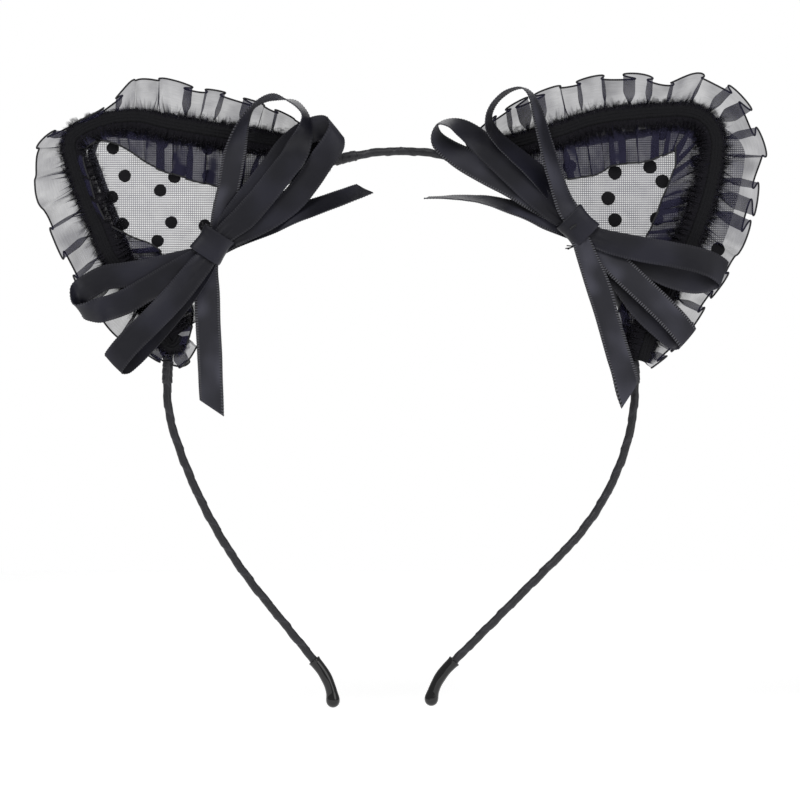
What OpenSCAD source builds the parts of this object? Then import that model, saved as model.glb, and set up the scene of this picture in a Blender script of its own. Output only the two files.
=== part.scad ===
// Animal ears headband: a ribbon-wrapped spring-wire hoop, two ruffled tulle ears on bent wires, two double bows.
// +X is the wearer's left as seen from the front, -Y is the front, +Z is up.
// The origin is the centre of the hoop's upper circle, where the head goes.

/* [Hoop] */
// Radius of the hoop's upper circle, to the middle of the wire
hoop_r = 59.4; // [56:0.1:68]
// Diameter of the spring wire
wire_d = 1.5; // [1.2:0.1:1.7]
// Diameter over the ribbon that is wrapped round a wire
wrap_d = 2.1; // [1.9:0.05:2.4]
// Angle from the top of the hoop to the point where each half flexes
crown_half_angle = 10; // [7:0.5:12]
// Angle below the hoop's widest point where each free arm flexes
arm_flex_angle = 2; // [1.5:0.1:3]

/* [Arms] */
// Radius of the upper bend in the left arm
left_hip_r = 38; // [34:1:70]
// How far the left arm leans in after its upper bend, in degrees
left_hip_lean = 17.5; // [12:0.5:20]
// Radius of the long bend in the left arm
left_sweep_r = 125; // [110:1:140]
// How far the left arm leans in at its straight end, in degrees
left_end_lean = 39; // [34:0.5:42]
// Length of the straight end of the left arm, down to the cap
left_straight = 21.5; // [5:0.5:26]
// Radius of the upper bend in the right arm
right_hip_r = 54; // [40:1:70]
// How far the right arm leans in after its upper bend, in degrees
right_hip_lean = 17; // [12:0.5:20]
// Radius of the long bend in the right arm
right_sweep_r = 64; // [58:1:90]
// How far the right arm leans in at its straight end, in degrees
right_end_lean = 45; // [38:0.5:46]
// Length of the straight end of the right arm, down to the cap
right_straight = 39; // [20:0.5:44]

/* [Tip caps] */
// Outer diameter of the cap's sleeve
cap_d = 3.3; // [3:0.1:4]
// Diameter of the ball at the cap's end
cap_ball_d = 3.7; // [3.4:0.1:4.4]
// Length of the straight part of the cap
cap_straight = 2; // [1:0.1:7]
// Radius of the bend in the cap
cap_bend_r = 15; // [12:1:30]
// Angle that the cap bends back towards upright
cap_bend = 34; // [5:1:40]

/* [Ears] */
// Place of the left ear's upper root round the hoop, in degrees
left_upper_root = 106; // [104:0.5:110]
// Place of the left ear's lower root round the hoop, in degrees
left_lower_root = 174.5; // [170:0.5:175]
// How far out the left ear's two legs would meet
left_tip_out = 81; // [75:0.5:88]
// How high the left ear's two legs would meet
left_tip_up = 65; // [60:0.5:70]
// Radius of the bend at the left ear's tip
left_tip_r = 5; // [4:0.5:10]
// Place of the right ear's upper root round the hoop, in degrees
right_upper_root = 106; // [104:0.5:110]
// Place of the right ear's lower root round the hoop, in degrees
right_lower_root = 174.5; // [170:0.5:175]
// How far out the right ear's two legs would meet
right_tip_out = 81.5; // [75:0.5:88]
// How high the right ear's two legs would meet
right_tip_up = 67; // [60:0.5:70]
// Radius of the bend at the right ear's tip
right_tip_r = 8; // [4:0.5:10]
// Room between the hoop's middle line and the line that an ear bends on
bend_clear = 1.6; // [1.4:0.1:2.5]

/* [Fabric] */
// Distance from the ear wire out to the gather band
band_start = 2.6; // [2:0.1:4]
// Width of the gather band
band_w = 3.4; // [3:0.1:5]
// Distance from the ear wire out to the outer ruffle's hem
ruffle_reach = 14.6; // [10:0.2:16]
// Distance from the ear wire in to the inner ruffle's hem
inner_reach = 5.6; // [3:0.2:8]
// Thickness of the tulle with its seam allowance
tulle_t = 0.3; // [0.2:0.05:0.5]
// Depth of the ruffles' folds
ruffle_t = 1.6; // [1:0.1:1.8]
// Diameter of a flocked dot
dot_d = 2.9; // [1.8:0.1:3.4]
// Distance between two rows of dot pairs
dot_pitch = 12.1; // [10:0.1:14]

/* [Bows] */
// Width of the bow ribbon
ribbon_w = 6.35; // [5:0.05:7]
// Thickness of the bow ribbon, with its curl
ribbon_t = 0.35; // [0.25:0.05:0.4]
// Width of the ribbons where the knot gathers them
waist_w = 3.4; // [3:0.1:4.4]
// Half the opening of a bow loop at its end
loop_half_open = 1.6; // [1.2:0.1:1.8]
// Place of the left bow round the hoop, in degrees
left_bow_place = 146.4; // [140:0.1:150]
// Place of the right bow round the hoop, in degrees
right_bow_place = 139.7; // [134:0.1:146]

/* [Hidden] */
$fn = 48;

LEFT = 0;
RIGHT = 1;
wire_r = wire_d / 2;
wrap_r = wrap_d / 2;
fit_gap = 0.05;         // between a wire and the ribbon round it
swell = 0.02;           // how far a joint between two stretches of wire or cap stands proud
end_r = wire_r + swell; // the rounded end of a wire at a flex point
ball_gap = 0.03;        // from a flex point to such an end
wrap_gap = 0.3;         // from a flex point to the end of a wrap
fabric_gap = 0.6;       // from an ear's bend line to the fabric on either side
arc_step = 8;           // degrees between the points of a rounded outline

// Each side is drawn on the left; the right one is its mirror image with its own values.
hip_r = [left_hip_r, right_hip_r];
hip_lean = [left_hip_lean, right_hip_lean];
sweep_r = [left_sweep_r, right_sweep_r];
end_lean = [left_end_lean, right_end_lean];
straight = [left_straight, right_straight];
upper_root = [left_upper_root, right_upper_root];
lower_root = [left_lower_root, right_lower_root];
tip_at = [[-left_tip_out, left_tip_up], [-right_tip_out, right_tip_up]];
tip_r = [left_tip_r, right_tip_r];
bow_place = [left_bow_place, right_bow_place];

// Ribbon directions [left, right] in degrees from outward-pointing +X of the mirrored side, and their lengths
upper_front = [[67.5, 43], [62.5, 40]];
lower_front = [[230.5, 35], [220, 37]];
upper_back = [[45.5, 45], [35, 44]];
lower_back = [[198.5, 35], [193.5, 38]];
upper_tail = [[22.5, 43], [13, 40]];
lower_tail = [[272.5, 38], [257, 45]];
knot_turn = [55, 40];
knot_len = 4.6;
knot_wall = 0.35;
knot_half_w = 4.7;
knot_back_y = -3.25;
knot_depth = 3.9;
tails_y = -3.85;
back_ribbon_y = -4.7;
front_ribbon_y = -5.85;
back_tilt = 1.5;
front_tilt = 5.5;
stitch_r = 0.25;
stitch_bore_r = 0.32;

band_t = 1.4;
root_reach = 6.5;
taper = 17;
fabric_front_y = -wrap_r - 0.1;     // the tulle lies in front of the ear wire
trim_y = fabric_front_y - tulle_t - 0.05;

function dir(a) = [cos(a), sin(a)];
function on_hoop(a) = hoop_r * dir(a);
function unit(v) = v / norm(v);
function outward(v) = [v.y, -v.x];  // a quarter turn, from a leg's heading to the ear's outside

// The line that an ear bends on touches the hoop halfway between the ear's roots.
function bend_angle(s) = (upper_root[s] + lower_root[s]) / 2;
bend_out = hoop_r + bend_clear;
// Where a leg from p with heading u crosses the bend line
function crossing(s, p, u) = p + u * (bend_out - p * dir(bend_angle(s))) / (u * dir(bend_angle(s)));

function upper_foot(s) = on_hoop(upper_root[s]);
function lower_foot(s) = on_hoop(lower_root[s]);
function upper_way(s) = unit(tip_at[s] - upper_foot(s));
function lower_way(s) = unit(tip_at[s] - lower_foot(s));
function upper_normal(s) = outward(upper_way(s));
function lower_normal(s) = -outward(lower_way(s));
function normal_sum(s) = upper_normal(s) + lower_normal(s);
function corner(s) = tip_at[s] - normal_sum(s) * tip_r[s] / (1 + upper_normal(s) * lower_normal(s));
function angle_of(v) = let (a = atan2(v.y, v.x)) a < 0 ? a + 360 : a;

// The ear wire's outline moved outward by grow: a leg, the rounded tip, the other leg.
// Trim that reaches far out is cut narrow at the legs' feet and comes to its full width along the taper.
function leg_start(foot, way, normal, grow) =
    grow > root_reach ? [foot + root_reach * normal, foot + taper * way + grow * normal] : [foot + grow * normal];
function ear_line(s, grow) =
    let (a0 = angle_of(upper_normal(s)), a1 = angle_of(lower_normal(s)), n = ceil((a1 - a0) / arc_step),
         r = max(tip_r[s] + grow, 0.5), c = corner(s) - normal_sum(s) * max(0.5 - tip_r[s] - grow, 0))
    concat(
        leg_start(upper_foot(s), upper_way(s), upper_normal(s), grow),
        [for (i = [0:n]) c + r * dir(a0 + (a1 - a0) * i / n)],
        reversed(leg_start(lower_foot(s), lower_way(s), lower_normal(s), grow)));
function reversed(v) = [for (i = [len(v) - 1:-1:0]) v[i]];

// An arm's path: the start of each stretch, with headings measured in from straight down
function arm_turn(p, r, h0, h1) = p + r * (dir(h0) - dir(h1));
arm_top = on_hoop(180 + arm_flex_angle);
function hip_end(s) = arm_turn(arm_top, hip_r[s], arm_flex_angle, hip_lean[s]);
function sweep_end(s) = arm_turn(hip_end(s), sweep_r[s], hip_lean[s], end_lean[s]);
function arm_end(s) = sweep_end(s) + straight[s] * heading(end_lean[s]);
function cap_turn(s) = arm_end(s) + cap_straight * heading(end_lean[s]);
function cap_centre(s) = cap_turn(s) - cap_bend_r * dir(end_lean[s]);
function cap_end(s) = cap_centre(s) + cap_bend_r * dir(end_lean[s] - cap_bend);
function heading(h) = [sin(h), -cos(h)];

module on_side(s) {
    if (s == RIGHT) mirror([1, 0, 0]) children();
    else children();
}
module standing() rotate([90, 0, 0]) children();
module at(p, y = 0) translate([p.x, y, p.y]) children();
// Angle of a hinge gap along an arc of radius r
function gap_angle(gap, r) = gap / r * 180 / PI;

// A tube bent round centre c, from angle a0 to a1; ri = 0 makes it solid
module bent(c, r, a0, a1, ro, ri = 0)
    at(c) standing() rotate([0, 0, a0]) rotate_extrude(angle = a1 - a0, $fn = 96) translate([r, 0]) ring(ro, ri);
module ring(ro, ri) {
    if (ri > 0) difference() { circle(ro); circle(ri); }
    else circle(ro);
}
// A straight tube from p to q
module rod(p, q, ro, ri = 0)
    at(p) rotate([0, atan2(q.x - p.x, q.y - p.y), 0]) linear_extrude(norm(q - p)) ring(ro, ri);
module ball(p, r) at(p) sphere(r);
// A joint between two stretches of a tube, or of a wire if ri = 0, at p with heading u
module joined(p, u, ro, ri = 0) {
    if (ri > 0) rod(p - 0.25 * u, p + 0.25 * u, ro + swell, ri - swell / 2);
    else ball(p, ro + swell);
}
// A flat piece with its back at y, t thick towards the front
module plate(y, t) translate([0, y, 0]) standing() linear_extrude(t) children();

// ---- Hoop ----
// An arc of the hoop between two flex points: its wire has rounded ends, its wrap stops short of them
module hoop_wire(a0, a1) {
    g = gap_angle(end_r + ball_gap, hoop_r);
    bent([0, 0], hoop_r, a0 + g, a1 - g, wire_r);
    ball(on_hoop(a0 + g), end_r);
    ball(on_hoop(a1 - g), end_r);
}
module hoop_wrap(a0, a1) {
    g = gap_angle(wrap_gap, hoop_r);
    bent([0, 0], hoop_r, a0 + g, a1 - g, wrap_r, wire_r + fit_gap);
}
module crown_wire() color("slategray") hoop_wire(90 - crown_half_angle, 90 + crown_half_angle);
module crown_wrap() color([0.10, 0.10, 0.11]) hoop_wrap(90 - crown_half_angle, 90 + crown_half_angle);
module side_wire(s) color("slategray") on_side(s) hoop_wire(90 + crown_half_angle, 180 + arm_flex_angle);
module side_wrap(s) color([0.10, 0.10, 0.11]) on_side(s) hoop_wrap(90 + crown_half_angle, 180 + arm_flex_angle);

// ---- Arms and caps ----
module arm_tube(s, ro, ri, start_gap) {
    g = gap_angle(start_gap, hip_r[s]);
    hip_centre = arm_top + hip_r[s] * dir(arm_flex_angle);
    bent(hip_centre, hip_r[s], 180 + arm_flex_angle + g, 180 + hip_lean[s], ro, ri);
    sweep_centre = hip_end(s) + sweep_r[s] * dir(hip_lean[s]);
    bent(sweep_centre, sweep_r[s], 180 + hip_lean[s], 180 + end_lean[s], ro, ri);
    rod(sweep_end(s), cap_turn(s), ro, ri);
    joined(hip_end(s), heading(hip_lean[s]), ro, ri);
    joined(sweep_end(s), heading(end_lean[s]), ro, ri);
}
module arm_wire(s) color("slategray") on_side(s) {
    g = end_r + ball_gap;
    arm_tube(s, wire_r, 0, g);
    ball(arm_top + hip_r[s] * (dir(arm_flex_angle) - dir(arm_flex_angle + gap_angle(g, hip_r[s]))), end_r);
    bent(cap_centre(s), cap_bend_r, end_lean[s] - cap_bend, end_lean[s], wire_r);
    joined(cap_turn(s), heading(end_lean[s]), wire_r);
}
module arm_wrap(s) color([0.10, 0.10, 0.11]) on_side(s) arm_tube(s, wrap_r, wire_r + fit_gap, wrap_gap);
module tip_cap(s) color([0.02, 0.02, 0.02]) on_side(s) difference() {
    union() {
        rod(arm_end(s), cap_turn(s), cap_d / 2);
        bent(cap_centre(s), cap_bend_r, end_lean[s] - cap_bend, end_lean[s], cap_d / 2);
        ball(cap_end(s), cap_ball_d / 2);
        joined(cap_turn(s), heading(end_lean[s]), cap_d / 2);
    }
    bore_r = wrap_r + fit_gap;
    rod(arm_end(s) - heading(end_lean[s]), cap_turn(s) + fit_gap * heading(end_lean[s]), bore_r);
    bent(cap_centre(s), cap_bend_r, end_lean[s] - cap_bend, end_lean[s], wire_r + fit_gap);
}

// ---- Ear wires ----
// The two leg stretches between the hoop and the bend line, cut to the hoop's wrap in a scarf
module root_legs(s, ro, ri, gap) color(ri > 0 ? [0.10, 0.10, 0.11] : "slategray") on_side(s) difference() {
    for (leg = [[upper_foot(s), upper_way(s)], [lower_foot(s), lower_way(s)]])
        rod(leg[0] + leg[1] * wrap_r, crossing(s, leg[0], leg[1]) - gap * leg[1], ro, ri);
    bent([0, 0], hoop_r, upper_root[s] - 4, lower_root[s] + 4, wrap_r + 0.05);
}
module ear_tube(s, ro, ri, gap) {
    a0 = angle_of(upper_normal(s));
    a1 = angle_of(lower_normal(s));
    rod(crossing(s, upper_foot(s), upper_way(s)) + gap * upper_way(s), corner(s) + tip_r[s] * upper_normal(s), ro, ri);
    bent(corner(s), tip_r[s], a0, a1, ro, ri);
    rod(corner(s) + tip_r[s] * lower_normal(s), crossing(s, lower_foot(s), lower_way(s)) + gap * lower_way(s), ro, ri);
    joined(corner(s) + tip_r[s] * upper_normal(s), upper_way(s), ro, ri);
    joined(corner(s) + tip_r[s] * lower_normal(s), lower_way(s), ro, ri);
}
module ear_wire(s) color("slategray") on_side(s) ear_tube(s, wire_r, 0, fabric_gap);
module ear_wire_wrap(s) color([0.10, 0.10, 0.11]) on_side(s) ear_tube(s, wrap_r, wire_r + fit_gap, fabric_gap);
// Ribbon turns round the hoop beside each leg's foot
module ear_bindings(s) color([0.13, 0.13, 0.14]) on_side(s) {
    turns = gap_angle(5.2, hoop_r);
    for (a = [upper_root[s] - turns, lower_root[s]])
        bent([0, 0], hoop_r, a + 0.4, a + turns - 0.4, wrap_r + 0.35, wrap_r + fit_gap);
}

// ---- Ear fabric ----
module half_plane(s, from, to) rotate(bend_angle(s)) translate([from, -hoop_r * 2]) square([to - from, hoop_r * 4]);
module beyond_bend(s) intersection() {
    children();
    half_plane(s, bend_out + fabric_gap, bend_out * 2);
}
module before_bend(s) intersection() {
    children();
    half_plane(s, bend_out - 14, bend_out - fabric_gap);
}
// The strip that lies between two distances from the ear wire
module ear_strip(s, from, to) polygon(concat(ear_line(s, to), reversed(ear_line(s, from))));

module tulle(s) color([0.62, 0.62, 0.66, 0.5]) on_side(s)
    plate(fabric_front_y, tulle_t) beyond_bend(s) polygon(ear_line(s, band_start + band_w / 2));
module gather_band(s) color([0.03, 0.03, 0.04]) on_side(s)
    plate(trim_y, band_t) beyond_bend(s) ear_strip(s, band_start + 0.05, band_start + band_w - 0.05);
module outer_ruffle(s) color([0.33, 0.32, 0.38, 0.8]) on_side(s)
    plate(trim_y, ruffle_t) beyond_bend(s) ear_strip(s, band_start + band_w, ruffle_reach);
module inner_ruffle(s) color([0.33, 0.32, 0.38, 0.8]) on_side(s)
    plate(trim_y, ruffle_t - 0.4) beyond_bend(s) ear_strip(s, -inner_reach, band_start);
module root_ruffles(s) color([0.33, 0.32, 0.38, 0.8]) on_side(s)
    plate(trim_y, ruffle_t) before_bend(s) ear_strip(s, -1, ruffle_reach - 3);
// Pairs of dots in rows, where the inner ruffle leaves the tulle bare
function bare(s, p, r) =
    (p - upper_foot(s)) * upper_normal(s) < -inner_reach - r && (p - lower_foot(s)) * lower_normal(s) < -inner_reach - r
    && p * dir(bend_angle(s)) > bend_out + fabric_gap + r;
module tulle_dots(s) color([0.02, 0.02, 0.02]) on_side(s)
    plate(fabric_front_y - tulle_t, 0.25)
    for (i = [-3:3], j = [-3:3], k = [0, 1]) {
        p = corner(s) + [12, -10] + dot_pitch * [i, j] + k * [3.3, -7.2];
        if (bare(s, p, dot_d / 2)) translate(p) circle(dot_d / 2, $fn = 24);
    }

// ---- Bows ----
function bow_at(s) = on_hoop(bow_place[s]);
module bow_hole(s) at(bow_at(s), -2) standing() cylinder(h = 14, r = stitch_bore_r);
// Local frame of one ribbon: X along it, Z across it, leaning towards the front by tilt
module along(s, ribbon, y, tilt = 0) at(bow_at(s), y) rotate([0, -ribbon[0], 0]) rotate([0, 0, -tilt]) children();
// The ribbon seen from the front: gathered at the knot, full width beyond it
module waisted(length) {
    grown_at = knot_len / 2 + 5;
    standing() translate([0, 0, -20]) linear_extrude(40) polygon([
        [-1, -waist_w / 2], [knot_len / 2 + 0.5, -waist_w / 2], [grown_at, -ribbon_w / 2], [length + 1, -ribbon_w / 2],
        [length + 1, ribbon_w / 2], [grown_at, ribbon_w / 2], [knot_len / 2 + 0.5, waist_w / 2], [-1, waist_w / 2]]);
}
// Side view of a loop's outside or inside: two runs from the knot and a round end
function loop_side(length, e, foot) =
    let (lean = asin((e - foot) / (length - e)), n = 12)
    concat([[0, -foot]],
        [for (i = [0:n]) [length - e, 0] + e * dir(-90 - lean + i * (180 + 2 * lean) / n)],
        [[0, foot]]);
module loop(length) intersection() {
    translate([0, 0, -ribbon_w / 2]) linear_extrude(ribbon_w) difference() {
        polygon(loop_side(length, loop_half_open, ribbon_t));
        translate([1, 0]) polygon(loop_side(length - ribbon_t - 1, loop_half_open - ribbon_t, 0.01));
    }
    waisted(length);
}
module two_loops(s, a, b, y, tilt) color([0.17, 0.17, 0.20]) on_side(s) difference() {
    union() {
        along(s, a, y, tilt) loop(a[1]);
        along(s, b, y, tilt) loop(b[1]);
    }
    bow_hole(s);
}
module bow_front_ribbon(s) two_loops(s, upper_front[s], lower_front[s], front_ribbon_y, front_tilt);
module bow_back_ribbon(s) two_loops(s, upper_back[s], lower_back[s], back_ribbon_y, back_tilt);
// A tail with a slanted cut end
module tail(s, ribbon) {
    slant = 3;
    along(s, ribbon, tails_y) intersection() {
        translate([-1, -ribbon_t / 2, -ribbon_w / 2]) cube([ribbon[1] + 2, ribbon_t, ribbon_w]);
        waisted(ribbon[1] + 1);
        standing() translate([0, 0, -2]) linear_extrude(4) polygon([[-2, -4], [ribbon[1] - slant, -4],
            [ribbon[1] + slant, 4], [-2, 4]]);
    }
}
module bow_tails(s) color([0.17, 0.17, 0.20]) on_side(s) difference() {
    union() {
        tail(s, upper_tail[s]);
        tail(s, lower_tail[s]);
    }
    bow_hole(s);
}
module bow_knot(s) color([0.17, 0.17, 0.20]) on_side(s) difference() {
    at(bow_at(s)) rotate([0, 90 - knot_turn[s], 0]) translate([0, knot_back_y, -knot_len / 2])
        linear_extrude(knot_len) difference() {
            translate([-knot_half_w, -knot_depth]) square([knot_half_w * 2, knot_depth]);
            translate([-knot_half_w + knot_wall, -knot_depth + knot_wall])
                square([(knot_half_w - knot_wall) * 2, knot_depth - knot_wall * 2]);
        }
    bow_hole(s);
}
// Thread: a turn round the hoop, a shank through the bow and a small knot on its front
module tack_stitch(s) color([0.02, 0.02, 0.02]) on_side(s) {
    front_y = knot_back_y - knot_depth;
    turn_r = wrap_r + stitch_r + 0.03;
    at(bow_at(s)) rotate([0, 90 - bow_place[s], 0]) rotate([0, 90, 0])
        rotate_extrude() translate([turn_r, 0]) circle(stitch_r, $fn = 24);
    at(bow_at(s), -turn_r) standing() cylinder(h = -turn_r - front_y + 0.1, r = stitch_r);
    at(bow_at(s), front_y - 0.05) standing() cylinder(h = 0.4, r = stitch_r * 2.4);
}

crown_wire();
crown_wrap();
side_wire(LEFT);  // left_side_wire
side_wrap(LEFT);  // left_side_wrap
arm_wire(LEFT);  // left_arm_wire
arm_wrap(LEFT);  // left_arm_wrap
tip_cap(LEFT);  // left_tip_cap
root_legs(LEFT, wire_r, 0, fabric_gap);  // left_ear_root_wires
root_legs(LEFT, wrap_r, wire_r + fit_gap, fabric_gap);  // left_ear_root_wraps
ear_bindings(LEFT);  // left_ear_bindings
root_ruffles(LEFT);  // left_root_ruffles
ear_wire(LEFT);  // left_ear_wire
ear_wire_wrap(LEFT);  // left_ear_wire_wrap
tulle(LEFT);  // left_tulle
tulle_dots(LEFT);  // left_tulle_dots
gather_band(LEFT);  // left_gather_band
outer_ruffle(LEFT);  // left_outer_ruffle
inner_ruffle(LEFT);  // left_inner_ruffle
bow_back_ribbon(LEFT);  // left_bow_back_ribbon
bow_front_ribbon(LEFT);  // left_bow_front_ribbon
bow_tails(LEFT);  // left_bow_tails
bow_knot(LEFT);  // left_bow_knot
tack_stitch(LEFT);  // left_tack_stitch
side_wire(RIGHT);  // right_side_wire
side_wrap(RIGHT);  // right_side_wrap
arm_wire(RIGHT);  // right_arm_wire
arm_wrap(RIGHT);  // right_arm_wrap
tip_cap(RIGHT);  // right_tip_cap
root_legs(RIGHT, wire_r, 0, fabric_gap);  // right_ear_root_wires
root_legs(RIGHT, wrap_r, wire_r + fit_gap, fabric_gap);  // right_ear_root_wraps
ear_bindings(RIGHT);  // right_ear_bindings
root_ruffles(RIGHT);  // right_root_ruffles
ear_wire(RIGHT);  // right_ear_wire
ear_wire_wrap(RIGHT);  // right_ear_wire_wrap
tulle(RIGHT);  // right_tulle
tulle_dots(RIGHT);  // right_tulle_dots
gather_band(RIGHT);  // right_gather_band
outer_ruffle(RIGHT);  // right_outer_ruffle
inner_ruffle(RIGHT);  // right_inner_ruffle
bow_back_ribbon(RIGHT);  // right_bow_back_ribbon
bow_front_ribbon(RIGHT);  // right_bow_front_ribbon
bow_tails(RIGHT);  // right_bow_tails
bow_knot(RIGHT);  // right_bow_knot
tack_stitch(RIGHT);  // right_tack_stitch
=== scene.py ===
import math

import bmesh
import bpy
import numpy as np
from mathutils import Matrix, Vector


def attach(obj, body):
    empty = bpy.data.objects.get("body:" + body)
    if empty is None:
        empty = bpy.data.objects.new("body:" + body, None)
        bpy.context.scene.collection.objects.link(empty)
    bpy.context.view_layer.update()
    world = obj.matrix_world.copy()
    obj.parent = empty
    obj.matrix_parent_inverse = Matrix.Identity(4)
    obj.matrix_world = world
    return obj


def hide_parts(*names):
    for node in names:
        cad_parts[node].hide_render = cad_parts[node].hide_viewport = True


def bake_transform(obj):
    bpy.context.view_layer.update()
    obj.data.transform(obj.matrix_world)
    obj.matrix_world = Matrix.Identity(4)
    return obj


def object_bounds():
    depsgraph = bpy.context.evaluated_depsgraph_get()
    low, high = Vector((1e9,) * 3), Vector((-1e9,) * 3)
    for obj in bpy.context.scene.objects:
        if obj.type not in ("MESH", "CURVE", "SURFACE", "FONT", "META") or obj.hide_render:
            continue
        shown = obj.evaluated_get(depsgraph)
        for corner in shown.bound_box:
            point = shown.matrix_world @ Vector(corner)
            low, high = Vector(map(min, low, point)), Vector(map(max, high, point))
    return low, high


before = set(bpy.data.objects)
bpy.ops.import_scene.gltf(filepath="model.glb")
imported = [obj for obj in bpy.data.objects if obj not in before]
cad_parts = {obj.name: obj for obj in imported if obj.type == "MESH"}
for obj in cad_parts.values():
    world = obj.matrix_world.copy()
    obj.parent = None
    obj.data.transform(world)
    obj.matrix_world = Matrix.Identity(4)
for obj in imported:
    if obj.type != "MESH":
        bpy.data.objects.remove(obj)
cad_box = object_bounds()
scene = bpy.context.scene
MM = 0.001
SIDES = ("left", "right")
MIRROR = {"left": 1.0, "right": -1.0}  # the right side is drawn mirrored from the left's frame


# ---------------------------------------------------------------- camera, light and floor
def place(name, data, at, turned=(0, 0, 0)):
    o = bpy.data.objects.new(name, data)
    o.location = at
    o.rotation_euler = [math.radians(a) for a in turned]
    scene.collection.objects.link(o)
    return o


CAMERA_AT = (-0.25, -564.4, -3.8)  # mm, straight in front
camera = bpy.data.cameras.new("camera")
camera.lens = 100
camera.sensor_width = 36
camera.clip_start = 0.01
scene.camera = place("camera", camera, [v * MM for v in CAMERA_AT], (90, 0, 0))


def soft_light(name, at, turned, size, watts):
    light = bpy.data.lights.new(name, "AREA")
    light.shape = "DISK"
    light.size = size
    light.energy = watts
    place(name, light, at, turned)


soft_light("key_light", (-0.35, -0.75, 0.75), (48, 0, -25), 0.5, 5)
soft_light("fill_light", (0.6, -0.6, 0.25), (72, 0, 45), 0.6, 1.6)
soft_light("back_light", (0.1, 0.8, 0.6), (-55, 0, 5), 0.6, 1.2)

world = bpy.data.worlds.new("white_surround")
world.use_nodes = True
sky = world.node_tree.nodes["Background"]
sky.inputs["Color"].default_value = (1, 1, 1, 1)
seen = world.node_tree.nodes.new("ShaderNodeLightPath")  # the surround is seen as white but lights the object softly
strength = world.node_tree.nodes.new("ShaderNodeMapRange")
strength.inputs["To Min"].default_value = 0.42
strength.inputs["To Max"].default_value = 1.0
world.node_tree.links.new(seen.outputs["Is Camera Ray"], strength.inputs["Value"])
world.node_tree.links.new(strength.outputs["Result"], sky.inputs["Strength"])
scene.world = world
scene.view_settings.view_transform = "Standard"
scene.cycles.transparent_max_bounces = 48
scene.cycles.max_bounces = 12


# ---------------------------------------------------------------- materials
class Nodes:
    """A short way to write a material's node tree."""

    def __init__(self, name):
        self.mat = bpy.data.materials.new(name)
        self.mat.use_nodes = True
        self.tree = self.mat.node_tree
        self.shader = self.tree.nodes["Principled BSDF"]

    def node(self, kind, ins=None, **settings):
        n = self.tree.nodes.new(kind)
        for k, v in settings.items():
            setattr(n, k, v)
        for k, v in (ins or {}).items():
            if isinstance(v, bpy.types.NodeSocket):
                self.tree.links.new(v, n.inputs[k])
            else:
                n.inputs[k].default_value = v
        return n

    def cloth_uv(self):
        """Millimetres along and across the cloth."""
        return self.node("ShaderNodeUVMap", uv_map="cloth").outputs[0]

    def parts(self, vector):
        """The first two parts of a vector: along and across."""
        return self.node("ShaderNodeSeparateXYZ", {0: vector}).outputs[:2]

    def math(self, op, a, b=0.0, clamp=False):
        return self.node("ShaderNodeMath", {0: a, 1: b}, operation=op, use_clamp=clamp).outputs[0]

    def product(self, a, b):
        return self.math("MULTIPLY", a, b)

    def total(self, a, b, clamp=False):
        return self.math("ADD", a, b, clamp)

    def wave(self, value, length):
        """A sine of this wavelength in mm."""
        return self.math("SINE", self.product(value, 2 * math.pi / length))

    def scaled(self, vector, by):
        return self.node("ShaderNodeVectorMath", {0: vector, 1: by}, operation="MULTIPLY").outputs[0]

    def noise(self, vector, scale, detail=2.0, rough=0.5):
        return self.node(
            "ShaderNodeTexNoise", {"Vector": vector, "Scale": scale, "Detail": detail, "Roughness": rough}
        ).outputs[0]

    def remap(self, value, a, b, lo, hi, smooth=False):
        kind = "SMOOTHSTEP" if smooth else "LINEAR"
        return self.node(
            "ShaderNodeMapRange", {0: value, 1: a, 2: b, 3: lo, 4: hi}, interpolation_type=kind
        ).outputs[0]

    def shades(self, value, dark, light):
        return self.node(
            "ShaderNodeMix", {0: value, 6: (*dark, 1), 7: (*light, 1)}, data_type="RGBA"
        ).outputs[2]

    def bump(self, height, strength, distance, under=None):
        ins = {"Height": height, "Strength": strength, "Distance": distance}
        if under is not None:
            ins["Normal"] = under
        return self.node("ShaderNodeBump", ins).outputs[0]

    def set(self, **values):
        for k, v in values.items():
            socket = self.shader.inputs[k.replace("_", " ")]
            if isinstance(v, bpy.types.NodeSocket):
                self.tree.links.new(v, socket)
            else:
                socket.default_value = v


def position(n):
    return n.node("ShaderNodeTexCoord").outputs["Object"]


TICK = 0.65  # mm from one rib of the selvedge to the next
MATT_SHIFT = 10  # added to the across of a ribbon's matt side, to tell it from the face
RIM_ACROSS = (13.1, 13.17)  # the across of its thin edges, past the selvedge of the matt side


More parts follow.
